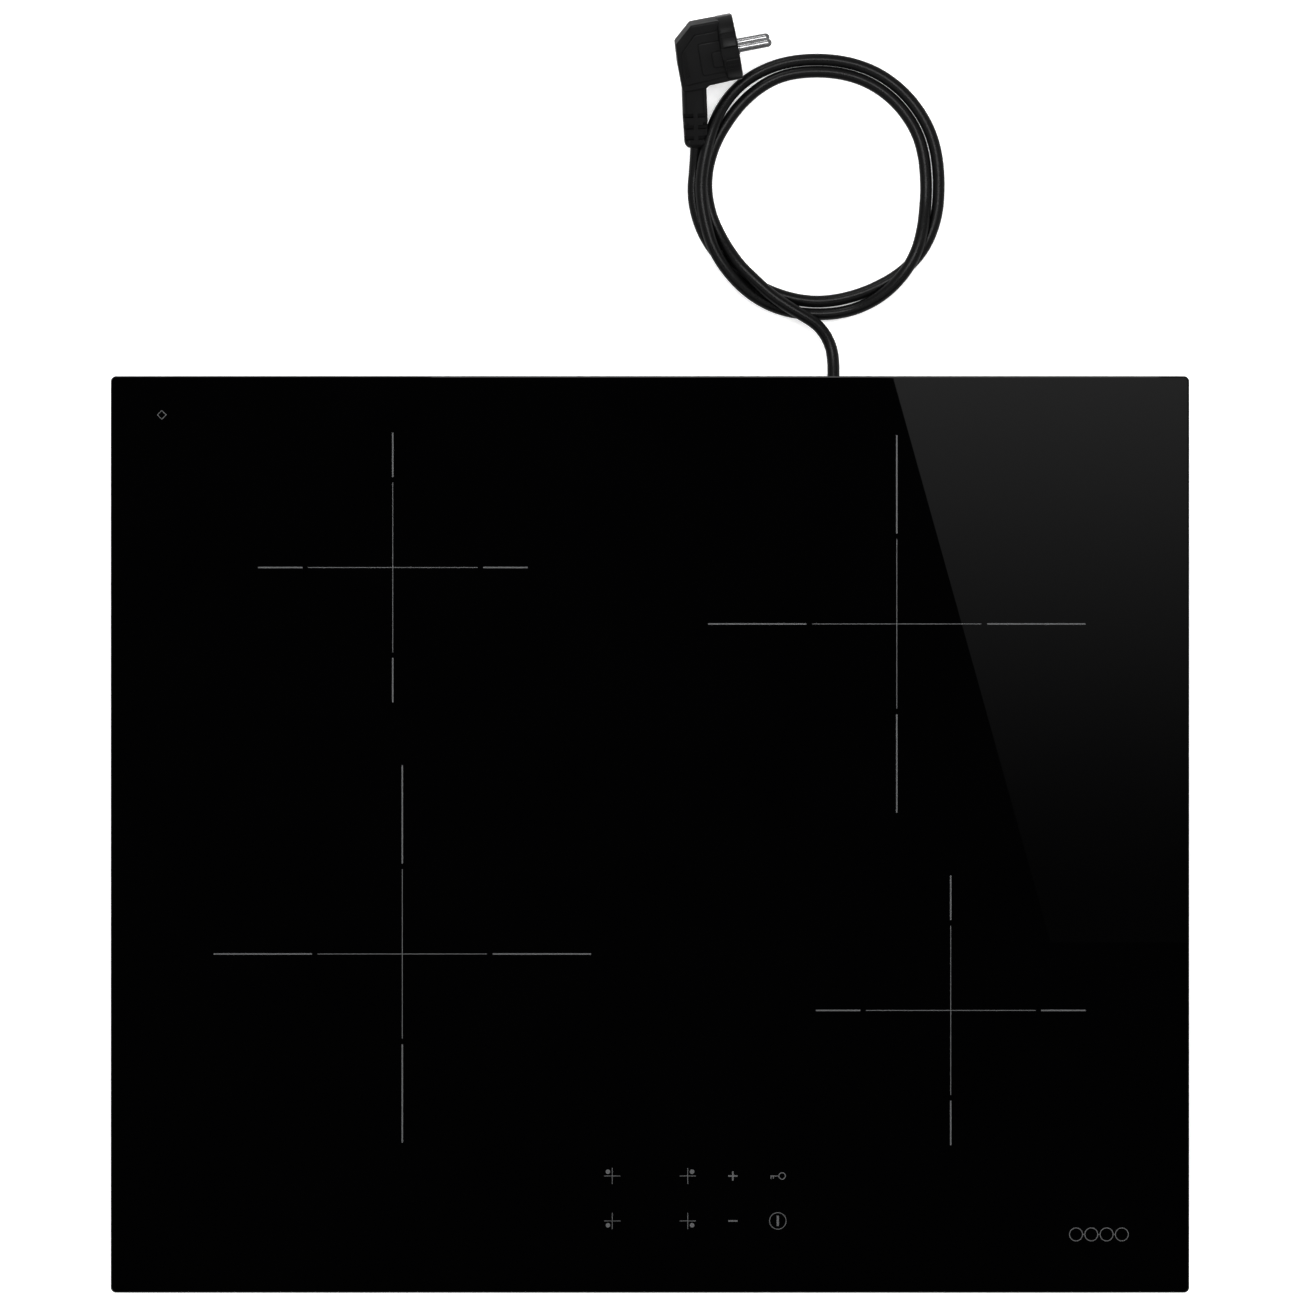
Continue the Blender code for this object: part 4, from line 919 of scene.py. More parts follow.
def make_gland():
    """Strain relief in the rear wall: a sleeve inside, a collar on the wall, a ribbed taper outside."""
    low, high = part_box("cord_gland")
    inner_end, outer_end, wall, ribs = low.y / MM, high.y / MM, 225.3, 6
    profile = [(3.5, inner_end), (7.2, inner_end), (7.2, wall), (9.4, wall), (10.0, wall + 0.6)]
    profile += [(10.0, wall + 2.4), (9.4, wall + 3.0), (7.2, wall + 3.4)]
    start, end = wall + 4.2, outer_end - 1.6
    pitch = (end - start) / ribs
    for rib in range(ribs):
        here = start + (end - start) * rib / ribs
        radius = 7.0 - 2.0 * rib / (ribs - 1)
        profile += [(radius, here), (radius, here + 0.62 * pitch)]
        profile += [(radius - 1.0, here + 0.7 * pitch), (radius - 1.0, here + 0.95 * pitch)]
    profile += [(4.6, end), (4.6, outer_end - 0.5), (4.2, outer_end), (3.5, outer_end)]
    place = Matrix.Translation((CORD_EXIT[0], 0, CORD_EXIT[2]))
    gland = turned(mm(profile), 48, "Y")
    add_piece("cord_gland_ribbed", gland, GLAND, ["cord_gland"], place)


lead = piece(make_lead(), replaces=["cord_coil", "cord_tail"])
plug_parts = [make_plug(), make_earth_clips(), *make_pins()]
make_gland()


# ---------------------------------------------------------------- glass and its marks
def make_glass():
    """The plate, as (inset, height) levels: a small chamfer below and a polished rounding above."""
    width, depth = (GLASS_HIGH - GLASS_LOW).xy
    polish, bottom = GLASS_POLISH, GLASS_LOW.z
    profile = [(polish / 2, bottom), (0.0, bottom + polish / 2)]
    for bend in quarter(5):
        profile.append((polish * (1 - math.cos(bend)), GLASS_TOP - polish * (1 - math.sin(bend))))
    profile.append((2 * polish, GLASS_TOP))
    rings = []
    for step, z in profile:
        size = (width - 2 * step, depth - 2 * step)
        rings.append(at_height(rounded_rectangle(*size, GLASS_CORNER - step, steps=10), z))
    add_piece("glass_top", loft(rings), GLASS, ["glass_plate"])


def add_mark(name, *marks):
    """Printed shapes as one piece."""
    add_piece(name, merged(*marks), INK)


def bar(start, end, width):
    """A printed line between two points."""
    start, end = Vector(start), Vector(end)
    side = (end - start).normalized().orthogonal() * (width / 2)
    return prism([start + side, start - side, end - side, end + side], PRINT_LOW, PRINT_HIGH)


def ring(centre, radius, stroke, sides=40):
    """A printed circle, or a polygon with few sides."""
    rings = []
    outer, inner = radius + stroke / 2, radius - stroke / 2
    section = ((inner, PRINT_LOW), (outer, PRINT_LOW), (outer, PRINT_HIGH), (inner, PRINT_HIGH))
    for r, z in section:
        rings.append(at_height(circle(r, sides, centre), z))
    return loft(rings, closed=True)


def cross(centre, half, width, gap=0.0):
    """Two crossed lines; a gap leaves their middle open."""
    marks = []
    x, y = centre
    for dx, dy in ((1, 0), (-1, 0), (0, 1), (0, -1)):
        near = gap if gap else (width / 2 if dy else 0.0)
        marks.append(bar((x + dx * near, y + dy * near), (x + dx * half, y + dy * half), width))
    return marks


def make_zone_marks():
    """A fine cross at each zone's middle, and bolder strokes from there out to the zone's edge."""
    inner_half, inner_width, outer_width, gap = 47.15 * MM, 0.4 * MM, 0.78 * MM, 3.1 * MM
    for zone in ZONES:
        low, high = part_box(f"winding_{zone}")
        centre = ((low + high) / 2).xy
        half = 105 * MM if high.x - low.x > 150 * MM else 75 * MM
        fine = cross(centre, inner_half, inner_width)
        bold = cross(centre, half, outer_width, inner_half + gap)
        add_mark(f"zone_mark_{zone}", *fine, *bold)


def make_zone_keys():
    """Four small crosses, each with a dot on the side of its own zone."""
    half, stroke, dot_radius, dot_offset = 4.5 * MM, 0.36 * MM, 1.25 * MM, 2.4 * MM
    for depth, sy, y in (("rear", 1, KEYS_REAR), ("front", -1, KEYS_FRONT)):
        for side, sx in (("left", -1), ("right", 1)):
            x = sx * 21 * MM
            centre = (x + sx * dot_offset, y + sy * dot_offset)
            dot = prism(circle(dot_radius, 28, centre), PRINT_LOW, PRINT_HIGH)
            add_mark(f"key_{depth}_{side}", *cross((x, y), half, stroke), dot)


def make_other_keys():
    """Plus, minus, key lock and on/off, in two rows."""
    rear, front = KEYS_REAR, KEYS_FRONT
    x, half, stroke = 46.1 * MM, 2.6 * MM, 0.85 * MM
    add_mark("key_plus", *cross((x, rear), half, stroke))
    add_mark("key_minus", bar((x - half, front), (x + half, front), stroke))
    stroke = 0.5 * MM
    bow = ring((73.5 * MM, rear), 1.8 * MM, stroke)
    stem = bar((71.65 * MM, rear), (67.0 * MM, rear), stroke)
    top, end = rear - stroke / 2, rear - 3 * stroke
    bits = [bar((x * MM, top), (x * MM, end), stroke) for x in (67.3, 68.6)]
    add_mark("key_lock", bow, stem, *bits)
    x, half = 71.1 * MM, 2.85 * MM
    circled = ring((x, front), 4.6 * MM, 0.4 * MM)
    add_mark("key_power", circled, bar((x, front - half), (x, front + half), 1.2 * MM))


def make_ornaments():
    """A plain diamond outline at the rear left, and a row of plain loops at the front right."""
    stroke, reach = 0.55 * MM, 2.7 * MM
    add_mark("corner_diamond", ring((-271.6 * MM, 233.4 * MM), reach - stroke / 2, stroke, 4))
    first, pitch, y, stroke = 237.0, 8.5, -222.5 * MM, 0.45 * MM
    places = [first + pitch * i for i in range(4)]
    loops = [ring((x * MM, y), 3.6 * MM, stroke) for x in places]
    joins = [bar(((x + 3.7) * MM, y), ((x + 4.8) * MM, y), stroke) for x in places[:-1]]
    add_mark("corner_loops", *loops, *joins)


make_glass()
make_zone_marks()
make_zone_keys()
make_other_keys()
make_ornaments()


# ---------------------------------------------------------------- seal and support frame
def band(size, corner, section):
    """A ring of a given section, as (offset outwards, height), along a rounded rectangle."""
    rings = []
    for offset, z in section:
        width, depth = size.x + 2 * offset, size.y + 2 * offset
        rings.append(at_height(rounded_rectangle(width, depth, corner + offset, steps=10), z))
    return loft(rings, closed=True)


def make_seal():
    """Foam strip, rounded more at its lower edges."""
    low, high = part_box("edge_seal")
    foam_band, r, upper = 10 * MM, 1.0 * MM, 0.4 * MM
    half = [(-r, low.z), *arc((-r, low.z + r), r, -90, 0, 4)[1:]]
    half += arc((-r, high.z - upper), upper, 0, 90, 3)
    mirror = [(-foam_band - offset, z) for offset, z in half[::-1]]
    foam = band(high - low, 12 * MM, half + mirror)
    add_piece("edge_seal_foam", foam, FOAM, ["edge_seal"])


def make_frame():
    """An upright wall folded inwards at the top."""
    low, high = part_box("support_frame")
    leg, bend = 17 * MM, 2 * MM
    centre = (-bend, high.z - bend)
    section = [(0, low.z), *arc(centre, bend, 0, 90, 5), (-leg, high.z), (-leg, high.z - SHEET)]
    section += [*arc(centre, bend - SHEET, 90, 0, 4), (-SHEET, low.z)]
    frame_band = band(high - low, 18 * MM, section)
    add_piece("support_frame_folded", frame_band, FRAME_STEEL, ["support_frame"])


# ---------------------------------------------------------------- base tray
TRAY_LOW, TRAY_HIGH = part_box("base_tray")
FLANGE = 10.7 * MM
FLANGE_Z = TRAY_HIGH.z - SHEET
TRAY_WIDTH = TRAY_HIGH.x - TRAY_LOW.x - 2 * FLANGE
TRAY_DEPTH = TRAY_HIGH.y - TRAY_LOW.y - 2 * FLANGE
TRAY_CORNER = 6 * MM
CORNER_STEPS = 8


def slot_row(count, pitch, centre, width, depth):
    """Outlines of equal slots side by side."""
    middle = (count - 1) / 2
    places = [(centre[0] + (i - middle) * pitch, centre[1]) for i in range(count)]
    return [stadium(place, width, depth) for place in places]


def fan_slots():
    """Eight rows of slots in a circle below the blower, with a rib across the middle."""
    low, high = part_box("fan_impeller")
    x, y = ((low + high) / 2).xy
    reach, rib, rows, pitch = 34 * MM, 2.5 * MM, 8, 9 * MM
    slots = []
    for i in range(rows):
        offset = (i - (rows - 1) / 2) * pitch
        half = math.sqrt(reach**2 - offset**2)
        for side in (-1, 1):
            slots.append(stadium((x + side * (rib + half) / 2, y + offset), half - rib, 5 * MM))
    return slots


def fill(bm, loops, normal):
    """A flat face between an outer loop of points and the holes in it."""
    edges = []
    for verts in vertex_loops(bm, loops):
        edges += [bm.edges.new((verts[i - 1], verts[i])) for i in range(len(verts))]
    made = bmesh.ops.triangle_fill(bm, use_beauty=True, edges=edges, normal=normal)
    faces = [g for g in made["geom"] if isinstance(g, bmesh.types.BMFace)]
    if faces[0].normal.dot(Vector(normal)) < 0:
        bmesh.ops.reverse_faces(bm, faces=faces)
    paired = [e for e in bm.edges if len(e.link_faces) == 2]
    inner = [e for e in paired if all(f in faces for f in e.link_faces)]
    bmesh.ops.dissolve_limit(bm, angle_limit=0.001, verts=[], edges=inner)


def add_bead(bm, outline, depth):
    """A stiffening bead pressed up into the floor: sloping sides, rounded edges and a flat top."""
    levels = ((0.0, 0.0), (0.5 * MM, 0.12 * depth), (1.6 * MM, 0.88 * depth), (2.1 * MM, depth))
    loops = vertex_loops(bm, [at_height(inset(outline, step), z) for step, z in levels])
    for lower, upper in zip(loops, loops[1:]):
        strip(bm, upper, lower)
    bm.faces.new(loops[-1][::-1])


def tray_rings():
    """Outlines of the tray's skin from its floor to its flange, and the index of the upright wall."""
    bend, lip, top = 2 * MM, 0.8 * MM, FLANGE_Z
    levels = [(-bend * (1 - math.sin(t)), bend * (1 - math.cos(t))) for t in quarter(4)]
    wall = len(levels) - 1
    levels += [(lip * (1 - math.cos(t)), top - lip * (1 - math.sin(t))) for t in quarter(3)]
    levels.append((FLANGE, top))
    rings = []
    for offset, z in levels:
        size = (TRAY_WIDTH + 2 * offset, TRAY_DEPTH + 2 * offset)
        outline = rounded_rectangle(*size, TRAY_CORNER + offset, steps=CORNER_STEPS)
        rings.append(at_height(outline, z))
    return rings, wall


def fill_wall(bm, rings, wall, index, openings, facing):
    """The front (facing -1) or rear (facing 1) wall, around its openings."""
    lower, upper = rings[wall], rings[wall + 1]
    edge = [lower[index], lower[index + 1], upper[index + 1], upper[index]]
    y = facing * TRAY_DEPTH / 2
    holes = [[(x, y, z) for x, z in outline] for outline in openings]
    fill(bm, [edge, *holes], (0, facing, 0))


def vents(count, x):
    """A row of air slots in an upright wall."""
    return slot_row(count, 14 * MM, (x, 26.5 * MM), 9 * MM, 5 * MM)


def tray_beads():
    """Outlines of the beads: at both sides, below the filter, beside the terminals, at the front."""
    beads, width = [], 12 * MM
    for side in (-1, 1):
        beads += [stadium((side * 239 * MM, y * MM), width, 92 * MM, 8) for y in (-90, 90)]
    groups = ((-145, 96, (128, 152, 176)), (200, 56, (110, 140, 170)), (0, 84, (-183, -207)))
    for x, length, rows in groups:
        beads += [stadium((x * MM, y * MM), length * MM, width, 8) for y in rows]
    return beads


def tray_floor_holes():
    """The blower's grille, two rows of long slots at the front and the opening for the terminals."""
    holes = fan_slots()
    for side in (-1, 1):
        holes += slot_row(10, 11 * MM, (side * 115 * MM, -193 * MM), 5 * MM, 34 * MM)
    holes.append(rounded_rectangle(70 * MM, 66 * MM, 2 * MM, (CORD_EXIT[0], 185 * MM)))
    return holes


def make_tray():
    """Outer skin of the tray, folded from one sheet, which a modifier then thickens inwards."""
    bm = bmesh.new()
    rings, wall = tray_rings()
    rear, front = CORNER_STEPS, 3 * CORNER_STEPS + 2
    loops = vertex_loops(bm, rings)
    for level, (lower, upper) in enumerate(zip(loops, loops[1:])):
        strip(bm, lower, upper, (rear, front) if level == wall else ())
    fill_wall(bm, rings, wall, front, vents(8, -115 * MM) + vents(8, 115 * MM), -1)
    gland_hole = circle(7.5 * MM, 28, (CORD_EXIT[0], CORD_EXIT[2]))
    fill_wall(bm, rings, wall, rear, [*vents(8, -150 * MM), *vents(4, 200 * MM), gland_hole], 1)
    holes, beads = tray_floor_holes(), tray_beads()
    for outline in beads:
        add_bead(bm, outline, 2.0 * MM)
    openings = [at_height(outline, 0.0) for outline in (*holes, *beads)]
    fill(bm, [rings[0], *openings], (0, 0, -1))
    bmesh.ops.remove_doubles(bm, verts=bm.verts, dist=2 * WELD)
    tray = build("base_tray_folded", bm, ZINC, closed=False)
    sheet = tray.modifiers.new("Sheet", "SOLIDIFY")
    sheet.thickness = SHEET
    sheet.offset = -1.0
    sheet.use_even_offset = True
    tray.modifiers.move(1, 0)
    piece(tray, replaces=["base_tray"])


def cross_head(radius, height):
    """A pan-head screw with a cross recess, its head hanging below z = 0."""
    profile = [(0, 0), (radius, 0), (radius, -0.35 * height)]
    for t in quarter(6)[1:-1]:
        profile.append((radius * math.cos(t), -height * (0.35 + 0.65 * math.sin(t))))
    profile.append((0, -height))
    head = build("head", turned(profile, 28), SCREW_STEEL)
    reach, half, tip, foot = 0.6 * radius, 0.14 * radius, -2 * height, -0.35 * height
    arms = []
    for turn in (0, 90):
        arm = placed(block((-reach, -half, tip), (reach, half, foot)), rotation(turn, "Z"))
        arms.append(("DIFFERENCE", arm))
    carved(head, *arms)
    bm = bmesh.new()
    bm.from_mesh(head.data)
    bpy.data.objects.remove(head)
    return bm


def make_flange_screws():
    """Screws that hold the tray's flange to the support frame, each stopped at another angle."""
    x, y = TRAY_WIDTH / 2 + 5.6 * MM, TRAY_DEPTH / 2 + 5.6 * MM
    places = [(px * MM, side * y) for side in (-1, 1) for px in (-220, -75, 75, 220)]
    places += [(side * x, py * MM) for side in (-1, 1) for py in (-180, 0, 180)]
    master = cross_head(3.1 * MM, 2.0 * MM)
    screws = []
    for index, place in enumerate(places):
        turn = rotation(37 * index, "Z")
        screws.append(placed(master.copy(), Matrix.Translation((*place, FLANGE_Z)) @ turn))
    master.free()
    add_piece("flange_screws", merged(*screws), SCREW_STEEL)


def make_blank_plate():
    """A plain plate on the right wall, where such a hob has its data plate, with two rivets."""
    plate = slab(rounded_rectangle(72 * MM, 24 * MM, 2 * MM), 0.0, 0.4 * MM, 0.15 * MM)
    profile = mm([(0, 0.3), (1.6, 0.3), (1.3, 0.8), (0.6, 1.05), (0, 1.1)])
    rivets = [moved(turned(profile, 20), side * 32 * MM, 0, 0) for side in (-1, 1)]
    place = Matrix.Translation((TRAY_WIDTH / 2 + 0.02 * MM, -40 * MM, 24 * MM))
    place = place @ rotation(90, "Z") @ rotation(90, "X")
    add_piece("blank_plate", merged(plate, *rivets), LABEL, matrix=place)


# ---------------------------------------------------------------- worktop clamps
def crank(s):
    """Share of the arm's rise along its length: flat, a smooth rise, then flat again."""
    t = min(max((s - 23 * MM) / (8 * MM), 0.0), 1.0)
    return t * t * (3 - 2 * t)


def clamp_arm(half, reach, bottom, inward):
    """The cranked arm with round ends, as sections along it; s is the distance from the screw."""
    thick, rise, end = 2 * MM, 4 * MM, reach - half
    stations = [half * (1 - math.cos(t)) - half for t in quarter(6)]
    stations += [s * MM for s in (8, 16, 22, 24, 25.5, 27, 28.5, 30, 32)]
    stations += [end + half * math.sin(t) for t in quarter(6)]
    rings = []
    for s in stations:
        width = half
        if s < 0 or s > end:
            past = s if s < 0 else s - end
            width = math.sqrt(max(half**2 - past**2, 0.0)) + 0.02 * MM
        low = bottom + rise * crank(s)
        high = low + thick
        edge = min(0.35 * MM, width / 2)
        section = [(width - edge, low), (width, low + edge), (width, high - edge), (width - edge, high)]
        section += [(-w, z) for w, z in section[::-1]]
        rings.append([(w, inward * s, z) for w, z in section])
    return loft(rings)


def clamp_teeth(half, top, inward):
    """Grooves across the arm's outer end, which grip the worktop."""
    teeth = []
    for s in (33.5, 35.2, 36.9, 38.6, 40.3):
        y = inward * s * MM
        low = (-half - MM, y - 0.35 * MM, top - 0.4 * MM)
        teeth.append(block(low, (half + MM, y + 0.35 * MM, top + MM)))
    return merged(*teeth)


def make_clamp_arm(corner, place, inward):
    """The arm with its screw hole, a stiffening groove below and the teeth above."""
    node = f"clamp_arm_{corner}"
    low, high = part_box(node)
    half = (high.x - low.x) / 2
    shape = clamp_arm(half, high.y - low.y - half, low.z, inward)
    arm = build(f"{node}_cranked", shape, CLAMP_STEEL)
    outline = stadium((0, inward * 13.5 * MM), 3 * MM, 13 * MM)
    groove = slab(outline, low.z - 1 * MM, low.z + 0.6 * MM, 0.2 * MM)
    hole = rod(2.3 * MM, 0, 20 * MM)
    teeth = clamp_teeth(half, high.z, inward)
    carved(arm, ("DIFFERENCE", hole), ("DIFFERENCE", groove), ("DIFFERENCE", teeth))
    arm.data.transform(place)
    piece(arm, f"clamp_{corner}", [node])


def clamp_thread(bottom, start, top):
    """A plain shank up to the arm, then a thread."""
    crest, root, pitch = 2.0 * MM, 1.65 * MM, 0.8 * MM
    profile = [(0, bottom), (crest, bottom), (crest, start)]
    z = start
    while z < top - pitch:
        profile += [(root, z + 0.4 * pitch), (root, z + 0.5 * pitch), (crest, z + 0.9 * pitch)]
        z += pitch
    return turned([*profile, (crest, top), (0, top)], 20)


def make_clamp(corner):
    """A clamp's arm, its screw, and the nut and washer that are fixed under the tray's flange."""
    node = f"clamp_screw_{corner}"
    low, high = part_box(node)
    x, y = ((low + high) / 2).xy
    place = Matrix.Translation((x, y, 0))
    make_clamp_arm(corner, place, -1 if y > 0 else 1)

    head_top = low.z + 3 * MM
    head = moved(cross_head(4.5 * MM, 3 * MM), 0, 0, head_top)
    arm_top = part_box(f"clamp_arm_{corner}")[1].z
    thread = clamp_thread(head_top, arm_top + 1.5 * MM, high.z)
    screw = merged(head, thread)
    add_piece(f"{node}_threaded", screw, SCREW_STEEL, [node], place)

    nut_low, washer_low = FLANGE_Z - 3.2 * MM, FLANGE_Z - 3.7 * MM
    nut = slab(circle(3.9 * MM, 6), nut_low, FLANGE_Z, 0.3 * MM)
    bore, rim = 2.2 * MM, 4.0 * MM
    washer = turned([(bore, washer_low), (rim, washer_low), (rim, nut_low), (bore, nut_low)], 28)
    pair = merged(nut, washer)
    add_piece(f"clamp_nut_{corner}", pair, SCREW_STEEL, matrix=place)


# ---------------------------------------------------------------- mains terminals
def make_terminal_cover():
    """The lid below the terminals: rounded edges, five grooves, a finger notch, a hinge barrel."""
    low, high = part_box("terminal_cover")
    hinge = Vector((CORD_EXIT[0], 154.3 * MM, 1.7 * MM))
    bottom, top, tongue, step = 0.6 * MM, 2.6 * MM, 20 * MM, 3 * MM
    half, end = (high.x - low.x) / 2, high.y - hinge.y
    shape = [(-half, step), (-tongue, step), (-tongue, 0), (tongue, 0), (tongue, step), (half, step)]
    shape += [(half, end), (-half, end)]
    plate = slab(filleted(shape, 1.0 * MM), bottom, top, 0.35 * MM)
    lid = build("terminal_cover_lid", plate, BOX_PLASTIC)
    tools = [("UNION", moved(rod(1.5 * MM, -tongue, tongue, 28, "X"), 0, 0, hinge.z))]
    for offset in (-22, -11, 0, 11, 22):
        groove = stadium((offset * MM, 32 * MM), 1.4 * MM, 38 * MM)
        tools.append(("DIFFERENCE", prism(groove, bottom - 0.5 * MM, bottom + 0.4 * MM)))
    notch = prism(stadium((0, end), 14 * MM, 5 * MM), bottom - 0.5 * MM, bottom + 0.9 * MM)
    bore = moved(rod(1.0 * MM, -30 * MM, 30 * MM, 20, "X"), 0, 0, hinge.z)
    carved(lid, *tools, ("DIFFERENCE", notch), ("DIFFERENCE", bore))
    lid.data.transform(Matrix.Translation((hinge.x, hinge.y, 0)))
    piece(lid, "terminal_cover", ["terminal_cover"])


def make_lead_end():
    """The lead inside the terminal box: its sheath, then three wires that reach the terminals."""
    x, z = CORD_EXIT[0], CORD_EXIT[2]
    route = [(x, 0.2172, z), (x, 0.2110, 0.0143), (x, 0.2050, 0.0160), (x, 0.1980, 0.0176)]
    sheath = tube("lead_sheath_inside", smooth_route(route, 2 * MM), CORD_RADIUS, CORD)
    piece(sheath, replaces=["cord_lead"])
    wires = (("wire_brown", BROWN, -23, -1.5), ("wire_blue", BLUE, 0, 0), ("wire_earth", EARTH, 23, 1.5))
    for name, material, offset, start in wires:
        far = offset * MM
        route = [(x + start * MM, 0.1985, 0.0176), (x + 0.45 * far, 0.1955, 0.0170)]
        route += [(x + 0.9 * far, 0.1935, 0.0150), (x + far, 0.1905, 0.0140), (x + far, 0.1840, 0.0140)]
        wire = tube(name, smooth_route(route, 1 * MM), 1.25 * MM, material, 3)
        piece(wire)


def make_terminal_screws():
    """A row of brass screws on the terminal block."""
    screws = []
    for i in range(5):
        x = CORD_EXIT[0] + (i - 2) * 11.5 * MM
        screws.append(moved(cross_head(2.6 * MM, 1.4 * MM), x, 182 * MM, 17.4 * MM))
    add_piece("terminal_screws", merged(*screws), BRASS)


# ---------------------------------------------------------------- coils
def make_coil(zone):
    """A flat spiral of litz wire."""
    low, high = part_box(f"winding_{zone}")
    x, y, z = (low + high) / 2
    wire, steps = 1.55 * MM, 40
    pitch, hub = 2.12 * wire, 22 * MM
    inner, outer = hub + wire, (high.x - low.x) / 2 - wire
    samples = steps * round((outer - inner) / pitch)
    points = []
    for i in range(samples + 1):
        turn = 2 * math.pi * i / steps
        radius = inner + (outer - inner) * i / samples
        points.append((x + radius * math.cos(turn), y + radius * math.sin(turn), z))
    spiral = tube(f"winding_{zone}_spiral", points, wire, LITZ, 1)
    piece(spiral, replaces=[f"winding_{zone}"])


def make_ferrite_bars(zone):
    """Radial bars under the winding, one in each window of the former."""
    count = 8
    low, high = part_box(f"coil_former_{zone}")
    middle, outer = (low + high) / 2, (high.x - low.x) / 2
    start, end, width = 27 * MM, outer - 8.5 * MM, 8 * MM
    outline = rounded_rectangle(end - start, width, 0.8 * MM, ((start + end) / 2, 0), 3)
    bars = []
    for i in range(count):
        ferrite = slab(outline, low.z + 0.1 * MM, high.z - 0.3 * MM, 0.3 * MM, 2)
        turn = rotation(360 * (i + 0.5) / count, "Z")
        bars.append(placed(ferrite, Matrix.Translation((middle.x, middle.y, 0)) @ turn))
    add_piece(f"ferrite_bars_{zone}", merged(*bars), FERRITE)


# ---------------------------------------------------------------- boards and what is on them
def rounded_case(low, high, edge=0.6 * MM):
    """A component's case, with rounded edges."""
    centre = ((low[0] + high[0]) / 2, (low[1] + high[1]) / 2)
    outline = rounded_rectangle(high[0] - low[0], high[1] - low[1], 2 * edge, centre, 3)
    return slab(outline, low[2], high[2], edge, 2)


def on_board(centre, width, depth, height, sink=0.0):
    """Opposite corners of a box that stands on a board; sizes are in millimetres."""
    x, y = centre
    width, depth = width * MM, depth * MM
    low = (x - width / 2, y - depth / 2, BOARD_TOP - sink * MM)
    return low, (x + width / 2, y + depth / 2, BOARD_TOP + height * MM)


def electrolytic(x, y, radius, height):
    """A can with a rolled groove near its foot and a dished top; its size is in millimetres."""
    r, h, groove = radius, height, 2.2
    profile = [(0, 0), (r - 0.4, 0), (r, 0.5), (r, groove - 0.6), (r - 0.7, groove), (r, groove + 0.6)]
    profile += [(r, h - 0.6), (r - 0.6, h), (r - 1.4, h - 0.4), (0, h - 0.4)]
    return moved(turned(mm(profile), 28), x, y, BOARD_TOP)


def make_board_sheet(node, width, depth, centre):
    """The bare board; its size is in millimetres."""
    outline = rounded_rectangle(width * MM, depth * MM, 2 * MM, centre)
    sheet = slab(outline, BOARD_BOTTOM, BOARD_TOP, 0.1 * MM, 2)
    add_piece(f"{node}_sheet", sheet, BOARD, [node])


# Larger components of a power board: look, slot, and for each its place and size in millimetres.
CASES = {
    "film_capacitors": (CAP_YELLOW, "capacitor_case", ((10, -60, 34, 20, 22), (10, -30, 34, 20, 22))),
    "transformer": (FERRITE, "choke_core", ((55, -60, 30, 26, 20),)),
    "snubbers": (CAP_GREY, "capacitor_case", ((55, -15, 26, 30, 18), (10, 15, 34, 24, 16))),
    "relays": (RELAY_BLUE, "capacitor_case", ((60, 36, 20, 16, 12), (60, 56, 20, 16, 12))),
    "connectors": (BLOCK_PLASTIC, "terminal_block_plastic", ((15, 60, 40, 10, 10), (15, 75, 26, 8, 9))),
}
CHIP_SIZES = ((3.2, 1.6), (2.0, 1.2), (5.0, 6.2), (1.6, 3.2))  # width and depth
CHIP_COUNT, CHIP_HEIGHT, CHIP_SINK = 46, 0.9, 0.05


def make_power_board(node, side, seed):
    """Board with film capacitors, a transformer, relays, electrolytics, connectors, small parts."""
    x, y = side * 120 * MM, -41 * MM
    make_board_sheet(node, 202, 198, (x, y))
    for kind, (material, slot, sizes) in CASES.items():
        cases = []
        for dx, dy, *size in sizes:
            cases.append(rounded_case(*on_board((x + side * dx * MM, y + dy * MM), *size)))
        add_piece(f"{node}_{kind}", merged(*cases), material)
    cans = [electrolytic(x + side * 82 * MM, y + dy * MM, 6, 16) for dy in (-70, -54, -38)]
    add_piece(f"{node}_electrolytics", merged(*cans), CAN)
    pick = random.Random(seed)
    chips = []
    for _ in range(CHIP_COUNT):
        chip_x = x + side * pick.uniform(28, 95) * MM
        chip_y = y + pick.uniform(-90, 90) * MM
        size = pick.choice(CHIP_SIZES)
        chips.append(block(*on_board((chip_x, chip_y), *size, CHIP_HEIGHT, CHIP_SINK)))
    add_piece(f"{node}_small_parts", merged(*chips), CHIP)


def make_filter_board():
    """The board on four pillars, with its capacitor."""
    x, y = -145 * MM, 152 * MM
    make_board_sheet("filter_board", 140, 116, (x, y))
    pillars = []
    for sx in (-1, 1):
        for sy in (-1, 1):
            post = slab(circle(4 * MM, 6), 1.3 * MM, BOARD_BOTTOM, 0.3 * MM)
            pillars.append(moved(post, x + sx * 62 * MM, y + sy * 50 * MM, 0))
    posts = merged(*pillars)
    add_piece("filter_board_pillars", posts, BLOCK_PLASTIC)
    case = rounded_case(*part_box("filter_capacitor"), 1 * MM)
    add_piece("filter_capacitor_case", case, CAP_YELLOW, ["filter_capacitor"])


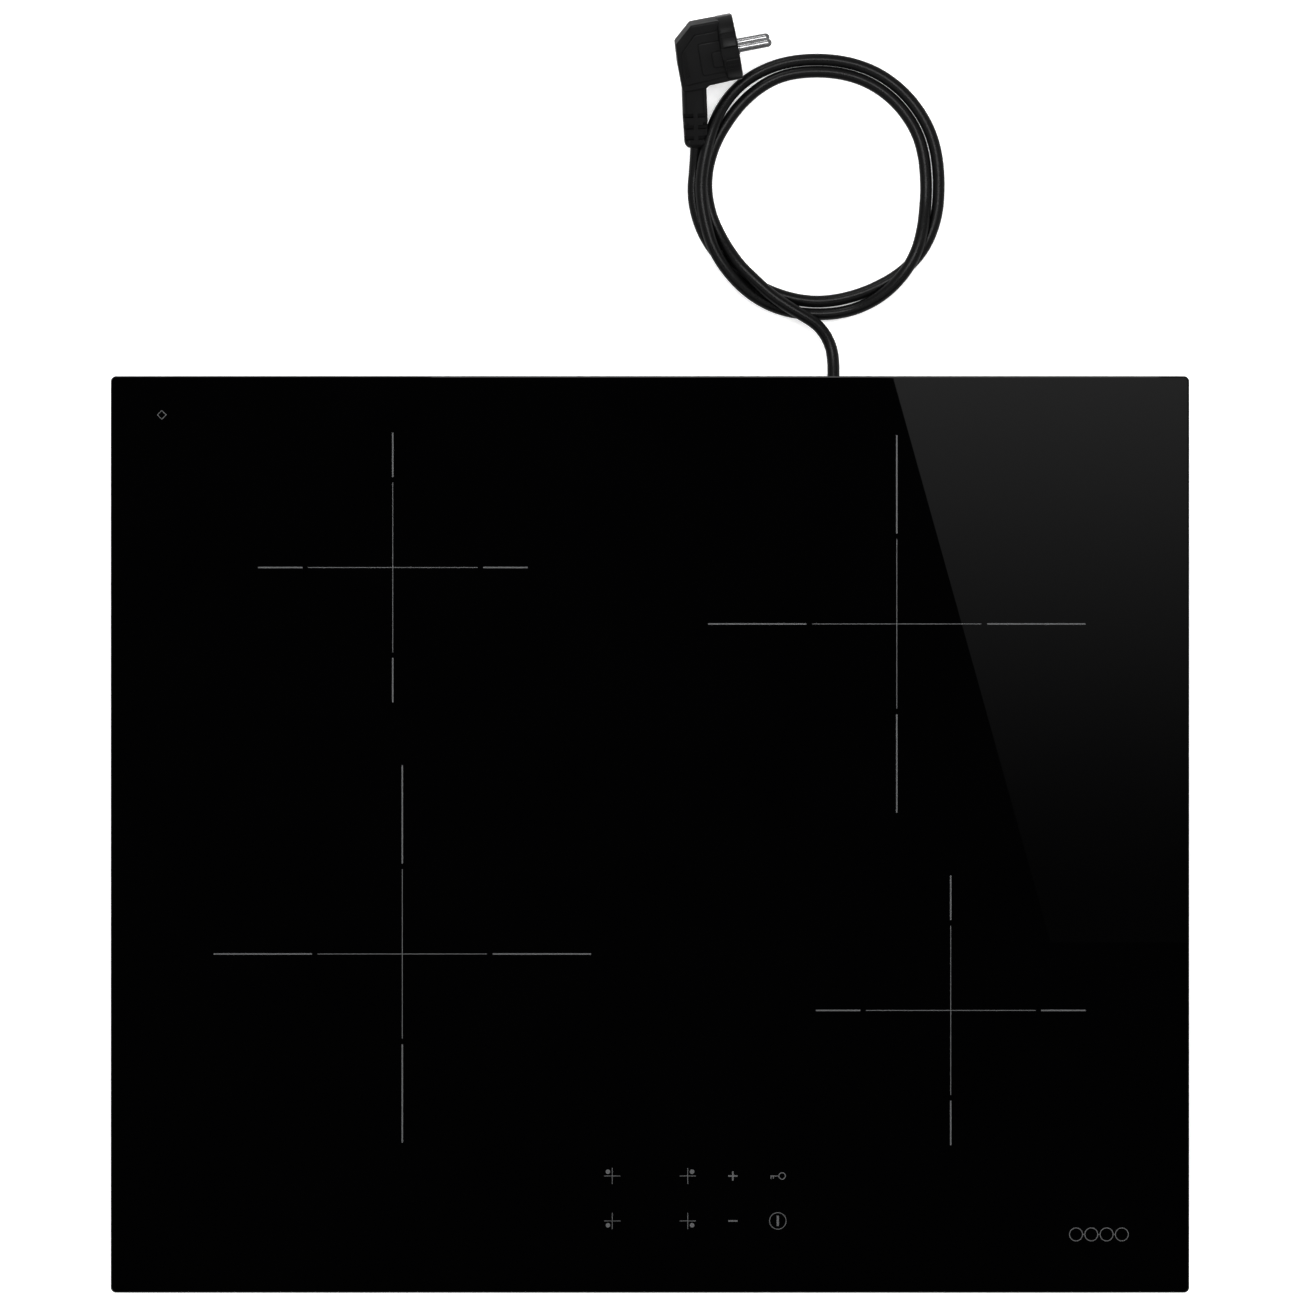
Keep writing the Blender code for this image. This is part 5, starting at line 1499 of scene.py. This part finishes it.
def make_choke():
    """A ring core with one winding on each half."""
    low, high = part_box("filter_choke")
    x, y, z = (low + high) / 2
    middle, reach, tall = 14.5 * MM, 4.2 * MM, (high.z - low.z) / 2 - 1.3 * MM
    outer, chamfer = middle + reach, 0.8 * MM
    profile = [(middle - reach, z - tall), (outer, z - tall)]
    profile += [(outer - chamfer, z + tall), (middle - reach + chamfer, z + tall)]
    place = Matrix.Translation((x, y, 0))
    core = turned(profile, 40)
    add_piece("filter_choke_core", core, FERRITE, ["filter_choke"], place)
    turns, samples, wire_gap = 11, 20, 0.7 * MM
    start, sweep = 14, 152
    for half in (0, 1):
        points = []
        for i in range(turns * samples + 1):
            around = math.radians(180 * half + start + sweep * i / (turns * samples))
            loop = 2 * math.pi * i / samples
            radius = middle + (reach + wire_gap) * math.cos(loop)
            height = z + (tall + wire_gap) * math.sin(loop)
            points.append((x + radius * math.cos(around), y + radius * math.sin(around), height))
        wire = tube(f"filter_choke_wire_{half + 1}", points, 0.6 * MM, LITZ, 2)
        piece(wire)


make_seal()
make_frame()
make_tray()
make_flange_screws()
make_blank_plate()
for clamp_corner in ("front_left", "front_right", "rear_left", "rear_right"):
    make_clamp(clamp_corner)
make_terminal_cover()
make_lead_end()
make_terminal_screws()
for coil_zone in ZONES:
    make_coil(coil_zone)
    make_ferrite_bars(coil_zone)
make_power_board("power_board_left", -1, 11)
make_power_board("power_board_right", 1, 7)
make_filter_board()
make_choke()

# CAD nodes that keep their own shape take their finish by slot.
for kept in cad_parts.values():
    if not kept.hide_render:
        for material_slot in kept.material_slots:
            material_slot.material = SLOT_LOOKS[material_slot.material.name.split(".")[0]]


# ---------------------------------------------------------------- floor, light and reflected card
def add_floor():
    """White paper, clear when looked at from below; light passes it, so the underside shows."""
    look = Looks("studio_floor")
    look.finish(
        Base_Color=look.cloudy(3.0, (0.88, 0.88, 0.88), (0.91, 0.91, 0.91), 2.0),
        Roughness=look.spread(look.noise(5.0), 0.55, 0.7),
        Specular_IOR_Level=0.2,
        Emission_Color=(1.0, 1.0, 1.0),
        Emission_Strength=0.45,
    )
    below = look.add("ShaderNodeNewGeometry").outputs["Backfacing"]
    clear = look.add("ShaderNodeBsdfTransparent").outputs[0]
    sides = {0: below, 1: look.shader.outputs[0], 2: clear}
    look.show(look.add("ShaderNodeMixShader", sides).outputs[0])
    bm = bmesh.new()
    bmesh.ops.create_circle(bm, cap_ends=True, radius=30.0, segments=64)
    floor = build("studio_floor", bm, look.material, Matrix.Translation((0, 0, -0.3 * MM)))
    floor.visible_diffuse = False
    floor.visible_glossy = False
    floor.visible_shadow = False


# The studio's brightness by the height of the direction, from -1 straight down to 1 straight up.
WORLD_LEVELS = [
    (-1.0, 0.4), (-0.6, 0.55), (0.03, 0.9), (0.16, 0.3),
    (0.45, 0.25), (0.75, 0.6), (0.94, 0.6), (0.984, 0.0),
]


def add_world():
    """The camera sees a plain pale backdrop; reflections and shading see the studio."""
    world = bpy.data.worlds.new("studio")
    bpy.context.scene.world = world
    world.use_nodes = True
    nodes, links = world.node_tree.nodes, world.node_tree.links
    place = nodes.new("ShaderNodeTexCoord")
    split = nodes.new("ShaderNodeSeparateXYZ")
    stretch = nodes.new("ShaderNodeMapRange")
    stretch.inputs["From Min"].default_value = -1.0
    ramp = nodes.new("ShaderNodeValToRGB")
    elements = ramp.color_ramp.elements
    while len(elements) < len(WORLD_LEVELS):
        elements.new(0.5)
    for element, (height, level) in zip(elements, WORLD_LEVELS):
        element.position = (height + 1) / 2
        element.color = (level, level, level, 1.0)
    studio, backdrop = nodes["Background"], nodes.new("ShaderNodeBackground")
    backdrop.inputs["Color"].default_value = (0.9, 0.9, 0.9, 1.0)
    mix = nodes.new("ShaderNodeMixShader")
    links.new(place.outputs["Generated"], split.inputs[0])
    links.new(split.outputs["Z"], stretch.inputs["Value"])
    links.new(stretch.outputs["Result"], ramp.inputs["Fac"])
    links.new(ramp.outputs["Color"], studio.inputs["Color"])
    links.new(nodes.new("ShaderNodeLightPath").outputs["Is Camera Ray"], mix.inputs[0])
    links.new(studio.outputs[0], mix.inputs[1])
    links.new(backdrop.outputs[0], mix.inputs[2])
    links.new(mix.outputs[0], nodes["World Output"].inputs["Surface"])


def add_area(name, place, target, size, power, mirrored=True):
    """A rectangular lamp, which can be left out of reflections."""
    data = bpy.data.lights.new(name, "AREA")
    data.shape = "RECTANGLE"
    data.size, data.size_y = size
    data.energy = power
    light = bpy.data.objects.new(name, data)
    light.location = place
    aim = Vector(target) - Vector(place)
    light.rotation_euler = aim.to_track_quat("-Z", "Y").to_euler()
    light.visible_camera = False
    light.visible_glossy = mirrored
    bpy.context.scene.collection.objects.link(light)


def card_place(x, y):
    """Where a point seen in the glass lies on the card above it, for the camera's view."""
    share = CARD_HEIGHT / CAMERA_HEIGHT
    return (x * (1 + share), y * (1 + share) - CAMERA_Y * share, GLASS_TOP + CARD_HEIGHT)


def card_look():
    """A dim glow that grows from the card's front to its rear, slowly at first."""
    look = Looks("reflected_card")
    front, rear = card_place(0, CARD_FRONT)[1], card_place(0, CARD_BRIGHT)[1]
    rise = look.spread(look.axis("Y"), 0.0, 1.0, front, rear)
    growth = look.maths("MULTIPLY", look.maths("POWER", rise, 2.0), 0.385)
    strength = look.maths("ADD", growth, 0.011)
    look.show(look.add("ShaderNodeEmission", {"Strength": strength}).outputs[0])
    return look.material


def add_card():
    """A dim card above the glass, seen only in reflections: the slanted sheen at the rear right."""
    (x1, y1), (x2, y2) = CARD_EDGE
    slope = (x2 - x1) / (y2 - y1)
    outline = [(x1 + slope * (y - y1), y) for y in (CARD_REAR, CARD_FRONT)]
    outline += [(CARD_RIGHT, CARD_FRONT), (CARD_RIGHT, CARD_REAR)]
    bm = bmesh.new()
    bm.faces.new([bm.verts.new(card_place(x, y)) for x, y in outline])
    card = build("reflected_card", bm, card_look())
    card.visible_camera = False
    card.visible_diffuse = False
    card.visible_shadow = False
    card.visible_transmission = False


bpy.context.scene.view_settings.view_transform = "Standard"
add_floor()
add_world()
add_card()
add_area("softbox_left", (-2.2, -1.0, 2.0), (0, 0.1, 0), (2.8, 2.8), 78.0, mirrored=False)
add_area("softbox_rear", (0.10, 0.52, 0.95), (0.10, 0.38, 0), (0.5, 0.3), 3.6)
add_area("softbox_low", (-0.5, 2.0, 1.05), (0.05, 0.42, 0.02), (0.8, 0.3), 6.0)
add_area("softbox_right", (2.4, 0.6, 1.6), (0, 0.1, 0), (2.4, 2.4), 56.0, mirrored=False)
